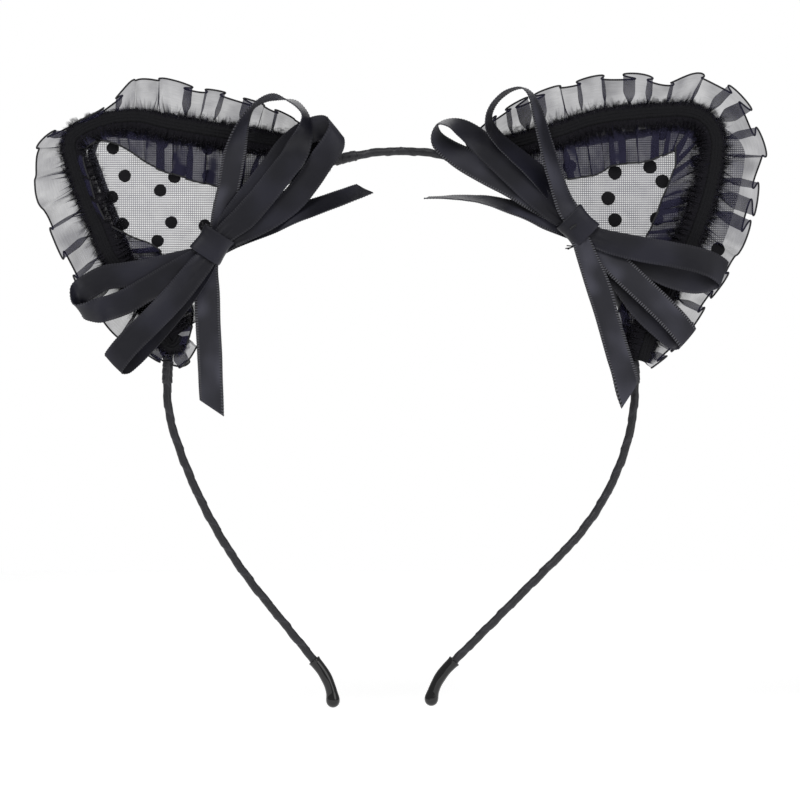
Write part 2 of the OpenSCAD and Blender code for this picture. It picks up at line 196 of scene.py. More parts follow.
def satin_material():
    """Satin ribbon: the face is smooth; the matt side is paler with a ribbed selvedge. Both sides carry broad bands of
    painted sheen along their length, brighter on the matt side.
    """
    n = Nodes("satin_ribbon")
    uv = n.cloth_uv()
    along, across = n.parts(uv)
    matt = n.math("GREATER_THAN", across, MATT_SHIFT / 2)
    from_middle = n.math("ABSOLUTE", n.math("SUBTRACT", across, n.product(matt, MATT_SHIFT)))
    # streaks of the satin's floats along the ribbon: they bump and roughen it, and a quarter of the painted sheen in
    # its colour comes from them
    floats_and_sheen = n.noise(n.scaled(uv, (0.35, 9.0, 0)), 1.0, 3, 0.6)
    weave = n.wave(across, 0.16)
    picks = n.wave(along, 0.21)
    edge = n.remap(from_middle, 2.42, 2.55, 0, 1, True)
    tick = n.remap(n.wave(along, TICK), -0.3, 0.6, 0, 1, True)
    # painted sheen: broad lighter bands along the ribbon that stand in for the satin's reflections
    painted_sheen = n.remap(n.noise(n.scaled(uv, (0.075, 0.10, 0)), 1.0, 1, 0.4), 0.42, 0.66, 0, 1, True)
    shade = n.total(n.product(floats_and_sheen, 0.25), n.product(painted_sheen, 0.75))
    # face and back run from the cloth's own dark to painted sheen
    face = n.shades(shade, (0.0042, 0.0042, 0.0075), (0.014, 0.014, 0.023))
    back = n.shades(shade, (0.006, 0.006, 0.0098), (0.054, 0.054, 0.073))
    body = n.node("ShaderNodeMix", {0: matt, 6: face, 7: back}, data_type="RGBA").outputs[2]
    ribbed = n.shades(tick, (0.002, 0.002, 0.003), (0.080, 0.080, 0.094))
    color = n.node("ShaderNodeMix", {0: n.product(edge, n.remap(matt, 0, 1, 0.12, 1.0)), 6: body, 7: ribbed},
                   data_type="RGBA").outputs[2]
    height = n.total(n.product(weave, 0.3), n.product(picks, 0.25))
    fine = n.bump(height, 0.35, 0.02 * MM)
    bumped = n.bump(n.total(floats_and_sheen, painted_sheen), 0.22, 0.12 * MM, fine)
    tangent = n.node("ShaderNodeTangent", direction_type="UV_MAP", uv_map="cloth").outputs[0]
    rough = n.total(n.remap(floats_and_sheen, 0.25, 0.75, 0.38, 0.5), n.product(matt, 0.12))
    n.set(Base_Color=color, Roughness=rough, Normal=bumped, Tangent=tangent, Anisotropic=0.4,
          Specular_IOR_Level=0.3, Sheen_Weight=0.02, Sheen_Roughness=0.3, Sheen_Tint=(0.75, 0.75, 0.85, 1))
    return n.mat


def wrap_material():
    """The narrow ribbon wound round the wires: a matt rib across it, a little paler towards each turn's ledge."""
    n = Nodes("wire_wrap")
    uv = n.cloth_uv()
    along, across = n.parts(uv)
    ribs = n.wave(along, 0.3)
    slub = n.noise(n.scaled(uv, (1.2, 4.0, 0)), 1.0, 3, 0.6)
    # paler towards the raised edge of each turn, where it laps over the ledge
    paler_at_ledges = n.product(n.math("POWER", across, 6.0), slub)
    color = n.shades(n.total(n.product(slub, 0.5), paler_at_ledges, clamp=True),
                     (0.005, 0.005, 0.0065), (0.030, 0.030, 0.038))
    bumped = n.bump(n.total(n.product(ribs, 0.35), slub), 0.5, 0.05 * MM)
    n.set(Base_Color=color, Roughness=n.remap(slub, 0.3, 0.7, 0.36, 0.52), Normal=bumped,
          Specular_IOR_Level=0.42, Sheen_Weight=0.02, Sheen_Roughness=0.4)
    return n.mat


def vinyl_material():
    n = Nodes("vinyl_cap")
    p = position(n)
    orange = n.noise(p, 1400.0, 3, 0.5)
    sag = n.noise(p, 260.0, 2, 0.5)
    color = n.shades(sag, (0.0015, 0.0015, 0.002), (0.004, 0.004, 0.0045))
    bumped = n.bump(n.total(n.product(orange, 0.2), sag), 0.3, 0.12 * MM)
    n.set(Base_Color=color, Roughness=n.remap(orange, 0.3, 0.7, 0.06, 0.12), Normal=bumped,
          Specular_IOR_Level=0.4, Coat_Weight=0.2, Coat_Roughness=0.04)
    return n.mat


def steel_material():
    n = Nodes("spring_steel")
    p = position(n)
    drawn = n.noise(p, 900.0, 4, 0.6)
    n.set(Base_Color=n.shades(drawn, (0.42, 0.42, 0.43), (0.60, 0.60, 0.61)),
          Roughness=n.remap(drawn, 0.3, 0.7, 0.24, 0.4), Normal=n.bump(drawn, 0.2, 0.03 * MM), Metallic=1.0)
    return n.mat


def organza_material(name, body, doubled):
    """Sheer organza. across runs from 0 at the gathers to 1 at the hem; body is how opaque one layer is, and
    doubled is how much more opaque its patches are."""
    n = Nodes(name)
    uv = n.cloth_uv()
    across = n.parts(uv)[1]
    streak = n.noise(n.scaled(uv, (2.2, 1.4, 0)), 1.0, 3, 0.6)
    slub = n.noise(n.scaled(uv, (0.5, 30.0, 0)), 1.0, 2, 0.5)
    cloud = n.noise(n.scaled(uv, (0.20, 1.0, 0)), 1.0, 2, 0.5)
    # gather is 1 at the gathers and fades out towards the hem: there the cloth is more opaque, as it really crowds, and
    # its colour is painted darker
    gather = n.remap(n.total(across, n.product(n.math("SUBTRACT", streak, 0.5), 0.7)),
                     0.05, 0.46, 1.0, 0.0, True)
    sheer = n.total(n.remap(slub, 0.3, 0.7, body - 0.03, body + 0.03), n.remap(cloud, 0.32, 0.68, -0.13, 0.15))
    patch = n.remap(n.noise(n.scaled(uv, (0.11, 0.9, 0)), 1.0, 2, 0.6), 0.54, 0.70, 0.0, doubled, True)
    alpha = n.total(n.total(sheer, patch), n.product(gather, 0.42), clamp=True)
    # painted shade: the colour is darker at the gathers, standing in for the shade among the crowded folds
    color = n.shades(gather, (0.0145, 0.0136, 0.032), (0.003, 0.003, 0.004))
    bumped = n.bump(n.total(streak, slub), 0.3, 0.06 * MM)
    n.set(Base_Color=color, Alpha=alpha, Roughness=0.65, Normal=bumped, Specular_IOR_Level=0.12)
    return n.mat


def tulle_material(name, body):
    """Fine net: rows of thread with zigzags between them; body is how much the holes are hazed by stray fibres."""
    n = Nodes(name)
    uv = n.cloth_uv()
    drift = n.noise(n.scaled(uv, (0.05, 0.05, 0)), 1.0, 1, 0.5)
    warped = n.node("ShaderNodeVectorMath", {0: uv, 1: n.scaled(drift, (0.8, 0.6, 0))}, operation="ADD").outputs[0]
    along, across = n.parts(warped)
    row = n.product(across, 2 * math.pi / 0.56)  # the rows are this many mm apart
    column = n.product(along, 2 * math.pi / 0.52)
    rows = n.remap(n.math("SINE", row), -0.25, 0.75, 0.0, 1.0, True)
    zigzag = n.math("SINE", n.total(column, n.product(n.math("SINE", row), 0.9)))
    columns = n.remap(zigzag, -0.05, 0.85, 0.0, 0.9, True)
    thread = n.math("MAXIMUM", rows, columns)
    cloud = n.noise(n.scaled(uv, (0.35, 0.35, 0)), 1.0, 2, 0.5)
    alpha = n.total(n.product(thread, n.remap(cloud, 0.3, 0.7, 0.48, 0.62)), body)
    color = n.shades(cloud, (0.040, 0.040, 0.057), (0.10, 0.10, 0.132))
    n.set(Base_Color=color, Alpha=alpha, Roughness=0.7, Normal=n.bump(thread, 0.4, 0.06 * MM),
          Specular_IOR_Level=0.3)
    return n.mat


def flock_material():
    n = Nodes("flocking")
    p = position(n)
    fibre = n.noise(p, 9000.0, 4, 0.75)
    tuft = n.noise(p, 1800.0, 2, 0.5)
    color = n.shades(n.product(fibre, tuft), (0.003, 0.003, 0.004), (0.020, 0.020, 0.023))
    n.set(Base_Color=color, Roughness=n.remap(tuft, 0.3, 0.7, 0.85, 1.0), Specular_IOR_Level=0.1,
          Normal=n.bump(n.total(fibre, tuft), 0.8, 0.10 * MM), Sheen_Weight=0.12, Sheen_Roughness=0.5)
    return n.mat


def band_material():
    """The gathers that the stitching crushes: dense, matt, ribbed across."""
    n = Nodes("gather_band")
    uv = n.cloth_uv()
    pleat = n.noise(n.scaled(uv, (3.2, 0.35, 0)), 1.0, 3, 0.6)
    fuzz = n.noise(n.scaled(uv, (9.0, 6.0, 0)), 1.0, 3, 0.7)
    shade = n.product(pleat, n.total(fuzz, 0.4))
    color = n.shades(shade, (0.002, 0.002, 0.003), (0.016, 0.016, 0.018))
    n.set(Base_Color=color, Roughness=n.remap(pleat, 0.3, 0.7, 0.7, 0.9), Specular_IOR_Level=0.12,
          Normal=n.bump(n.total(pleat, n.product(fuzz, 0.5)), 0.7, 0.16 * MM),
          Sheen_Weight=0.02, Sheen_Roughness=0.5)
    return n.mat


def fuzz_material():
    """The crushed folds beside the band: dense at the stitching, thinning to loose threads at their tips."""
    n = Nodes("crushed_organza")
    uv = n.cloth_uv()
    across = n.parts(uv)[1]
    streak = n.noise(n.scaled(uv, (0.8, 2.8, 0)), 1.0, 3, 0.55)
    frayed = n.total(across, n.product(n.math("SUBTRACT", streak, 0.5), 1.3))
    thin = n.remap(frayed, 0.25, 1.0, 0.97, 0.0, True)
    color = n.shades(streak, (0.003, 0.003, 0.004), (0.012, 0.011, 0.015))
    n.set(Base_Color=color, Alpha=thin, Roughness=0.8, Specular_IOR_Level=0.1, Normal=n.bump(streak, 0.6, 0.12 * MM))
    return n.mat


def thread_material():
    n = Nodes("thread")
    uv = n.cloth_uv()
    along, across = n.parts(uv)
    twist = n.wave(n.total(along, n.product(across, 0.35)), 0.35)
    fuzz = n.noise(n.scaled(uv, (4.0, 4.0, 0)), 1.0, 2, 0.6)
    shade = n.product(n.remap(twist, -1, 1, 0.2, 1.0), fuzz)
    color = n.shades(shade, (0.004, 0.004, 0.005), (0.030, 0.030, 0.034))
    n.set(Base_Color=color, Roughness=n.remap(fuzz, 0.3, 0.7, 0.5, 0.7), Normal=n.bump(twist, 0.5, 0.05 * MM),
          Specular_IOR_Level=0.35, Sheen_Weight=0.05)
    return n.mat


def floor_material():
    n = Nodes("pale_floor")
    grain = n.noise(position(n), 40.0, 3, 0.5)
    n.set(Base_Color=n.shades(grain, (0.90, 0.90, 0.90), (0.93, 0.93, 0.93)), Roughness=0.8,
          Emission_Color=(1, 1, 1, 1), Emission_Strength=0.4)
    return n.mat


SATIN, WRAP, VINYL, STEEL = satin_material(), wrap_material(), vinyl_material(), steel_material()
ORGANZA = organza_material("organza", 0.57, 0.12)
INNER_ORGANZA = organza_material("inner_organza", 0.83, 0.22)
TULLE = {
    "left": tulle_material("dotted_tulle", 0.23),
    "right": tulle_material("dotted_tulle_right", 0.31),  # a little denser in the right ear
}
FLOCK = flock_material()
BAND, THREAD, FUZZ = band_material(), thread_material(), fuzz_material()


# ---------------------------------------------------------------- mesh making
def mesh_object(name, points, faces, uvs, material):
    """points in mm as (x, y, z); uvs holds a (along, across) pair for each corner of each face."""
    mesh = bpy.data.meshes.new(name)
    mesh.from_pydata((np.asarray(points, float) * MM).tolist(), [], faces)
    layer = mesh.uv_layers.new(name="cloth")
    layer.data.foreach_set("uv", np.asarray(uvs, np.float32).ravel())
    mesh.materials.append(material)
    mesh.polygons.foreach_set("use_smooth", [True] * len(mesh.polygons))
    mesh.update()
    o = bpy.data.objects.new(name, mesh)
    scene.collection.objects.link(o)
    return o


class Mesh:
    """Gathers several grids into one piece."""

    def __init__(self):
        self.points, self.faces, self.uvs, self.count = [], [], [], 0

    def grid(self, p, uv, round_across=False, flip=False):
        """p is rows x columns x 3 and uv is rows x columns x 2, with one more column of uv where it closes round."""
        rows, cols = p.shape[:2]
        i, j = np.meshgrid(np.arange(rows - 1), np.arange(cols if round_across else cols - 1), indexing="ij")
        i, j = i.ravel(), j.ravel()
        k = (j + 1) % cols
        quads = np.stack([i * cols + j, (i + 1) * cols + j, (i + 1) * cols + k, i * cols + k], 1)
        c = uv.shape[1]
        flat = uv.reshape(-1, 2)
        corner = np.stack([i * c + j, (i + 1) * c + j, (i + 1) * c + j + 1, i * c + j + 1], 1)
        if flip:
            quads, corner = quads[:, ::-1], corner[:, ::-1]
        self.points.append(p.reshape(-1, 3))
        self.faces += (quads + self.count).tolist()
        self.uvs.append(flat[corner].reshape(-1, 2))
        self.count += rows * cols

    def fan(self, ring, middle, uv, flip=False):
        """Closes a ring of points with a fan round a middle point."""
        n = len(ring)
        at = self.count
        self.points.append(np.vstack([ring, [middle]]))
        for a in range(n):
            b = (a + 1) % n
            face = [at + n, at + b, at + a] if flip else [at + n, at + a, at + b]
            self.faces.append(face)
            self.uvs.append(np.array([uv] * 3))
        self.count += n + 1

    def tube(self, p, uv, flip, end_uv=(0, 0)):
        """A grid that closes round, with a fan over each end."""
        self.grid(p, uv, True, flip)
        self.fan(p[0], p[0].mean(0), end_uv, flip=not flip)
        self.fan(p[-1], p[-1].mean(0), end_uv, flip=flip)

    def make(self, name, material):
        return mesh_object(name, np.vstack(self.points), self.faces, np.vstack(self.uvs), material)


def uv_grid(along, across):
    """An (along, across) pair for each point of a grid."""
    return np.stack(np.meshgrid(along, across, indexing="ij"), 2)


def at_depth(flat, y, side):
    """The points of a flat (x, z) line at the depths y, on this side."""
    return np.stack([flat[:, 0] * MIRROR[side], y, flat[:, 1]], 1)


def along_line(points):
    """How far along the line each of its points is."""
    d = np.linalg.norm(np.diff(points, axis=0), axis=1)
    return np.concatenate([[0], np.cumsum(d)])


def at_marks(t, s, points):
    """The points at marks t of a line whose own points are at marks s, for every column."""
    return np.stack([np.interp(t, s, points[:, k]) for k in range(points.shape[1])], 1)


def stretch(line, s0, s1, step=0.16):
    """The part of a line from mark s0 to mark s1, with its marks, in even steps."""
    t = np.linspace(s0, s1, max(3, int(round((s1 - s0) / step)) + 1))
    return at_marks(t, along_line(line), line), t


def spline(controls, per=24):
    """A smooth line through the controls (centripetal Catmull-Rom on every column)."""
    c = np.asarray(controls, float)
    c = np.vstack([2 * c[0] - c[1], c, 2 * c[-1] - c[-2]])
    out = []
    for a in range(1, len(c) - 2):
        p0, p1, p2, p3 = c[a - 1:a + 3]
        steps = ((p0, p1), (p1, p2), (p2, p3))
        t01, t12, t23 = (max(np.linalg.norm((q - p)[:3]), 1e-6) ** 0.5 for p, q in steps)
        m1 = p2 - p1 + t12 * ((p1 - p0) / t01 - (p2 - p0) / (t01 + t12))
        m2 = p2 - p1 + t12 * ((p3 - p2) / t23 - (p3 - p1) / (t12 + t23))
        t = np.linspace(0, 1, per, endpoint=False)[:, None]
        out.append((2 * t**3 - 3 * t**2 + 1) * p1 + (t**3 - 2 * t**2 + t) * m1
                   + (-2 * t**3 + 3 * t**2) * p2 + (t**3 - t**2) * m2)
    return np.vstack(out + [c[-2:-1]])


def tangents(points):
    d = np.gradient(points, axis=0)
    return d / np.linalg.norm(d, axis=1, keepdims=True)


def smooth01(x, a, b):
    t = np.clip((x - a) / (b - a), 0, 1)
    return t * t * (3 - 2 * t)


def waves(s, wavelength, seed, octaves=2):
    """A smooth wandering value about 0, much the same in every run."""
    r = np.random.default_rng(seed)
    total = np.zeros_like(s, float)
    for k in range(octaves):
        for _ in range(3):
            turns = 2 * np.pi * s / (wavelength * r.uniform(0.7, 1.4)) * 2**k
            total += np.sin(turns + r.uniform(0, 2 * np.pi)) / 2**k
    return total / 3.2


# ---------------------------------------------------------------- the hoop and its arms
HOOP_R, WRAP_R = 59.4, 1.05
CROWN, ARM_FLEX = 10, 2  # degrees from the top to the upper hinge, and from the widest place to the lower one
ARM = {  # upper bend radius, its lean, long bend radius, end lean, straight end
    "left": (38, 17.5, 125, 39, 21.5),
    "right": (54, 17, 64, 45, 39),
}
CAP_STRAIGHT, CAP_R, CAP_BEND = 2, 16, 34
CAP_MOUTH_R, CAP_BALL_R = 1.46, 1.74


def ray(a):
    return np.array([math.cos(math.radians(a)), math.sin(math.radians(a))])


def arc(c, r, a0, a1):
    n = max(3, int(abs(math.radians(a1 - a0)) * r / 0.1))
    return np.array([c + r * ray(a) for a in np.linspace(a0, a1, n)])


def half_hoop(side):
    """The wire's middle line from the crown down to the cap's end, in the left side's (x, z), and the length of each
    of its stretches."""
    hip_r, hip_lean, sweep_r, lean, straight = ARM[side]
    down = np.array([math.sin(math.radians(lean)), -math.cos(math.radians(lean))])
    lines = [arc(np.zeros(2), HOOP_R, 90, 180 + ARM_FLEX)]
    lines.append(arc(lines[-1][-1] + hip_r * ray(ARM_FLEX), hip_r, 180 + ARM_FLEX, 180 + hip_lean))
    lines.append(arc(lines[-1][-1] + sweep_r * ray(hip_lean), sweep_r, 180 + hip_lean, 180 + lean))
    end = lines[-1][-1]
    lines.append(np.linspace(end, end + straight * down, 200))
    rim = lines[-1][-1]
    turn = rim + CAP_STRAIGHT * down
    lines.append(np.linspace(rim, turn, 60))
    lines.append(arc(turn - CAP_R * ray(lean), CAP_R, lean, lean - CAP_BEND))
    length = [along_line(p)[-1] for p in lines]
    return np.vstack([p if k == 0 else p[1:] for k, p in enumerate(lines)]), length


def sweep_round(line, s, radius, around, side):
    """A tube round a flat line; radius(s, angle) in mm. Returns its grid, angle 0 on the outside of the bend."""
    t = tangents(line)
    out = np.stack([t[:, 1], -t[:, 0]], 1)
    a = np.linspace(0, 2 * np.pi, around, endpoint=False)
    r = radius(s[:, None], a[None, :])
    x = line[:, :1] + out[:, :1] * r * np.cos(a)
    z = line[:, 1:] + out[:, 1:] * r * np.cos(a)
    return np.stack([x * MIRROR[side], r * np.sin(a), z], 2)


def ring(at, way, r, a, side):
    """A circle of radius r round a place on a flat line, square to its way."""
    x = at[0] + way[1] * r * np.cos(a)
    return np.stack([x * MIRROR[side], r * np.sin(a), at[1] - way[0] * r * np.cos(a)], 1)


PITCH = 7.6  # mm from one turn of the wound ribbon to the next


def wound(s, a, pitch, hand, phase):
    """Radius of a wire with ribbon wound round it: each turn laps over the last and ends in a small ledge."""
    f = np.mod(s / pitch + hand * a / (2 * np.pi) + phase, 1.0)
    lap = 0.17 * (f**1.6) * (1 - smooth01(f, 0.955, 1.0))
    crease = -0.035 * np.exp(-((f - 0.5) / 0.05) ** 2)
    loose = 0.03 * np.sin(2 * np.pi * s / 5.3 + a) + 0.025 * np.sin(2 * np.pi * s / 2.9 - 2 * a + 1.0)
    return WRAP_R - 0.06 + lap + crease + loose


def wound_uv(s, around, pitch, hand, phase):
    """along = mm along the winding ribbon, across = place in a turn from 0 to 1."""
    a = np.linspace(0, 2 * np.pi, around + 1)
    f = np.mod(s[:, None] / pitch + hand * a[None, :] / (2 * np.pi) + phase, 1.0)
    return np.stack([s[:, None] * 0.6 + a[None, :] * 1.1, f], 2)


def wound_piece(name, line, s, side, hand=1.0, around=28, pitch=PITCH, phase=0.0):
    grid = sweep_round(line, s, lambda u, a: wound(u, a, pitch, hand, phase), around, side)
    m = Mesh()
    m.tube(grid, wound_uv(s, around, pitch, hand, phase), side == "left", (0, 0.4))
    return m.make(name, WRAP)


def vinyl_cap(side, line, rim, end):
    """A thin open rim that turns into the bore, a sleeve that narrows a little, and a ball end."""
    cap_line, s = stretch(line, rim, end, 0.12)

    def profile(u, a):
        d = u - rim
        r = CAP_MOUTH_R + 0.14 * np.exp(-(d / 0.45) ** 2) + 0.03 * np.sin(d * 1.3 + 1)
        r = r + (CAP_BALL_R - r) * smooth01(d, end - rim - 2.2, end - rim - 0.2)
        return r + 0.02 * np.sin(2 * a + d * 0.7)

    around = 40
    body = sweep_round(cap_line, s, profile, around, side)
    a = np.linspace(0, 2 * np.pi, around, endpoint=False)
    first, last = cap_line[0], cap_line[-1]
    way_in, way_out = tangents(cap_line)[[0, -1]]
    lip = ((1.16, 0.9), (1.16, 0.15), (1.2, 0.0), (1.32, -0.14), (1.5, -0.16), (1.64, -0.07))  # radius, mm past the rim
    dome = [(CAP_BALL_R * math.cos(q), CAP_BALL_R * math.sin(q)) for q in np.linspace(0, math.pi / 2, 14)[1:]]
    grid = np.vstack([
        [ring(first + way_in * d, way_in, r, a, side) for r, d in lip], body,
        [ring(last + way_out * d, way_out, r, a, side) for r, d in dome],
    ])
    m = Mesh()
    m.grid(grid, uv_grid(np.arange(len(grid)) * 0.12, np.linspace(0, 11, around + 1)), True, side == "left")
    return m.make(f"{side}_cap", VINYL)


for side in SIDES:
    line, length = half_hoop(side)
    middle = math.radians(45) * HOOP_R
    rim, end = sum(length[:4]), sum(length)
    upper = wound_piece(f"{side}_hoop_winding_upper", *stretch(line, 0, middle), side)
    lower = wound_piece(f"{side}_hoop_winding_lower", *stretch(line, middle, rim + 4.0), side)
    top, low = 90 + CROWN, 180 + ARM_FLEX
    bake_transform(upper)
    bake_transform(lower)
    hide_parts(f"{side}_side_wrap", f"{side}_arm_wrap")
    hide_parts("crown_wrap")
    cap = vinyl_cap(side, line, rim, end)
    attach(cap, f"{side}_arm")
    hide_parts(f"{side}_tip_cap")


# ---------------------------------------------------------------- the ears
ROOTS = (106, 174.5)  # where the ear wire's legs meet the hoop, in degrees
TIP = {"left": (-81.0, 65.0, 5.0), "right": (-81.5, 67.0, 8.0)}  # where its legs would meet, and its bend radius
BOW_AT = {"left": HOOP_R * ray(146.4), "right": HOOP_R * ray(139.7)}


def bend_ear(o):
    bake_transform(o)


def ear_wire_line(side):
    tx, tz, r = TIP[side]
    tip = np.array([tx, tz])
    feet = [HOOP_R * ray(a) for a in ROOTS]
    ways = [(tip - f) / np.linalg.norm(tip - f) for f in feet]
    n0, n1 = np.array([ways[0][1], -ways[0][0]]), -np.array([ways[1][1], -ways[1][0]])
    c = tip - (n0 + n1) * r / (1 + n0 @ n1)
    a0 = math.degrees(math.atan2(n0[1], n0[0])) % 360
    a1 = math.degrees(math.atan2(n1[1], n1[0])) % 360
    round_tip = arc(c, r, a0, a1)
    legs = np.linspace(feet[0], round_tip[0], 300), np.linspace(round_tip[-1], feet[1], 300)
    return np.vstack([legs[0][:-1], round_tip, legs[1][1:]])


# Stations round each ear, in its own (x, z) from the upper root round the tip to the lower root:
# the gather band's middle, then the hem of the outer ruffle beside it
OUTER = {
    "left": [
        (-17, 58.5, -19.5, 63), (-26, 60.3, -26.5, 67.5), (-35, 62.2, -33, 70.5), (-44.5, 63.6, -41, 73.2),
        (-52, 64.9, -50, 75), (-60, 66.3, -59.5, 77.5), (-66, 67.7, -66.5, 78), (-72, 67.5, -71.5, 73.2),
        (-77.3, 66.1, -78, 68.4), (-81.2, 64.2, -84, 65.8), (-83.5, 61.5, -90.8, 62), (-83.3, 58.5, -93.4, 57.5),
        (-82.3, 55, -93, 52), (-81.2, 51.5, -92, 47), (-79.7, 47.5, -90, 42), (-78, 43, -87.5, 36.5),
        (-76, 38.5, -85.3, 31), (-74, 33.5, -83, 26.5), (-70, 27.5, -78.5, 19.5), (-66, 22, -73, 13.3),
        (-62.5, 16.5, -66.5, 9.0), (-60, 12.3, -62.5, 6.4), (-58.4, 10.2, -57.6, 4.2), (-57, 10.6, -53.8, 6.0),
        (-56, 12.6, -51.4, 9.4),
    ],
    "right": [
        (-17, 58.5, -18.5, 63.5), (-26, 60.5, -25, 69), (-33, 62.3, -31, 72.3), (-40.2, 64.2, -38, 75.3),
        (-47, 66.6, -45.5, 77.5), (-53, 67.8, -52.5, 78.6), (-59.5, 68.5, -60, 78.8), (-66, 69, -68, 76.8),
        (-71.5, 69.1, -75.5, 79), (-76, 67.8, -83.6, 75.2), (-78.7, 65, -88.3, 69.8), (-79.7, 61.5, -91, 63.5),
        (-79.5, 57.5, -92.3, 57.5), (-78.9, 53.5, -91, 51), (-78, 49.5, -89.8, 45.5), (-76.7, 45, -88.3, 39.5),
        (-75, 40, -86.3, 34), (-72.8, 34.5, -83.2, 28), (-70, 28.5, -79.6, 22.7), (-67, 22, -76, 17.5),
        (-64.5, 16.5, -72, 12), (-62.5, 11, -68, 7.8), (-61, 6, -63.5, 4.3),
    ],
}
# The same for the inner ruffle: the band's middle, then the hem
INNER = {
    "left": [
        (-17, 58.5, -19.5, 53.5), (-25, 60, -28, 51.5), (-33, 61.5, -36, 49.5), (-41, 63, -43, 49),
        (-49, 64.3, -50, 50.8), (-56, 65.5, -56.5, 52.7), (-62.5, 66.6, -62.5, 55), (-68.5, 67.7, -67.8, 58.5),
        (-74, 67.8, -72.5, 61), (-80, 66, -76.5, 61.5), (-83.5, 62.5, -79.5, 59.5), (-83.2, 58, -80, 56),
        (-81.7, 53, -78.5, 51.5), (-80, 48, -77, 46.5), (-78.2, 43, -74, 41), (-76.4, 39, -69, 38),
        (-74.3, 34.5, -62.5, 35.2), (-70.5, 28.5, -58.5, 31), (-66.5, 22.7, -54.5, 25), (-62.7, 16.8, -52.5, 18),
        (-60.2, 11.5, -53.5, 12), (-58.8, 8, -55, 8.5),
    ],
    "right": [
        (-17, 58.5, -19.5, 53.5), (-25, 60.3, -28, 51.5), (-33, 62.3, -35.5, 51), (-40, 64.2, -42.5, 52),
        (-46.5, 66.3, -48.5, 52.8), (-53, 67.8, -54, 55.3), (-59.5, 68.5, -60, 56), (-66, 69, -65, 57.3),
        (-72, 69, -68.8, 58.8), (-77, 67, -69.3, 57.5), (-79.4, 63.5, -69, 55), (-79.5, 58.5, -67.8, 51.5),
        (-78.7, 53, -66.4, 48.3), (-77.5, 47.5, -65, 44.5), (-75.7, 42, -63.2, 40.5), (-73.3, 36, -61, 35.5),
        (-70.5, 29.5, -58.5, 29.5), (-67, 22.5, -56, 23), (-64, 15.5, -54.5, 16.5), (-62, 9.5, -55.5, 10.5),
    ],
}
BAND_Y, BAND_HALF = -2.2, 1.9  # the gather band's depth and half its width
FOLD_ROWS = 6.3  # rows of points in a mm of a ruffle's strip


def ladder(stations, count):
    """Matching points down the gather band and the hem, evenly spread along the hem and the band together."""
    line = spline(np.array(stations, float), per=30)
    s = (along_line(line[:, :2]) + along_line(line[:, 2:])) / 2
    t = np.linspace(0, s[-1], count)
    line = at_marks(t, s, line)
    return line[:, :2], line[:, 2:], t


def pleated(stations, side, seed, folds, depth, overlap, lift, calm=(9, 34), step=1.0):
    """A gathered ruffle: wide panels that fold over each other near the hem, and fine gathers at the band. The folds
    are shallow up to calm[0] mm from the bow and full from calm[1] on. Returns the grid of points and uvs."""
    count = int(ladder(stations, 50)[2][-1] * FOLD_ROWS)
    band, hem, t = ladder(stations, count)
    u = t / t[-1]
    r = np.random.default_rng(seed)
    # the phase of the folds runs unevenly along the strip
    gap = r.uniform(0.6, 1.45, folds)
    stops = np.concatenate([[0], np.cumsum(gap)]) / gap.sum()
    phase = np.interp(u, stops, np.arange(folds + 1) * np.pi)
    k = np.clip(phase / np.pi, 0, folds - 1e-6).astype(int)
    f = phase / np.pi - k
    blend = smooth01(f, 0.2, 0.8)

    def per_fold(lo, hi):
        v = r.uniform(lo, hi, folds + 2)
        return v[k] * (1 - blend) + v[k + 1] * blend

    size, wide, long = per_fold(0.6, 1.3), per_fold(0.35, 1.6), per_fold(-1, 1)
    fine = waves(t, 1.5, seed + 1) + 0.7 * waves(t, 0.8, seed + 2)
    skew = waves(t, 14, seed + 3)
    dt = tangents(hem)
    near = np.linalg.norm((band + hem) / 2 - BOW_AT[side], axis=1)
    room = 0.35 + 0.65 * smooth01(near, *calm)
    points, uvs = [], []
    for v in np.linspace(0, 1, 22) ** 1.15:
        open_ = smooth01(v, 0.05, 0.95)
        spread = smooth01(v, 0.0, 0.6)
        slide = -overlap * wide * spread * np.sin(2 * phase) + 0.45 * fine * (1 - v) * smooth01(v, 0.0, 0.15)
        slide = slide + 0.5 * skew * v
        reach = v * (1 + step * (0.03 * long - 0.03 + 0.045 * (np.sin(phase) - 0.7) * wide) * open_)
        flat = band + (hem - band) * reach[:, None] + dt * slide[:, None]
        y = BAND_Y + lift * v * room - depth * size * room * open_ * np.sin(phase)
        y = y + 0.55 * fine * np.exp(-((v - 0.2) / 0.17) ** 2) * room
        y = y + 0.25 * waves(t + 7 * v, 5, seed + 5) * open_ * room
        points.append(at_depth(flat, y, side))
        uvs.append(np.stack([t * 1.6, np.full_like(t, v)], 1))
    return np.array(points).transpose(1, 0, 2), np.array(uvs).transpose(1, 0, 2)


def thread_tube(m, line, radius):
    """Adds a thin thread along a 3-D line of points in mm."""
    t = tangents(line)
    up = np.array([0.0, 1.0, 0.0])
    b = np.cross(t, up)
    norm = np.linalg.norm(b, axis=1, keepdims=True)
    b = np.where(norm > 1e-3, b / np.maximum(norm, 1e-3), [1.0, 0, 0])
    c = np.cross(b, t)
    a = np.linspace(0, 2 * np.pi, 6, endpoint=False)[None, :, None]
    grid = line[:, None] + (b[:, None] * np.cos(a) + c[:, None] * np.sin(a)) * radius
    m.grid(grid, uv_grid(along_line(line), np.linspace(0, 1, 7)), True)
    m.fan(grid[0], line[0], (0, 0), flip=True)
    m.fan(grid[-1], line[-1], (0, 0))


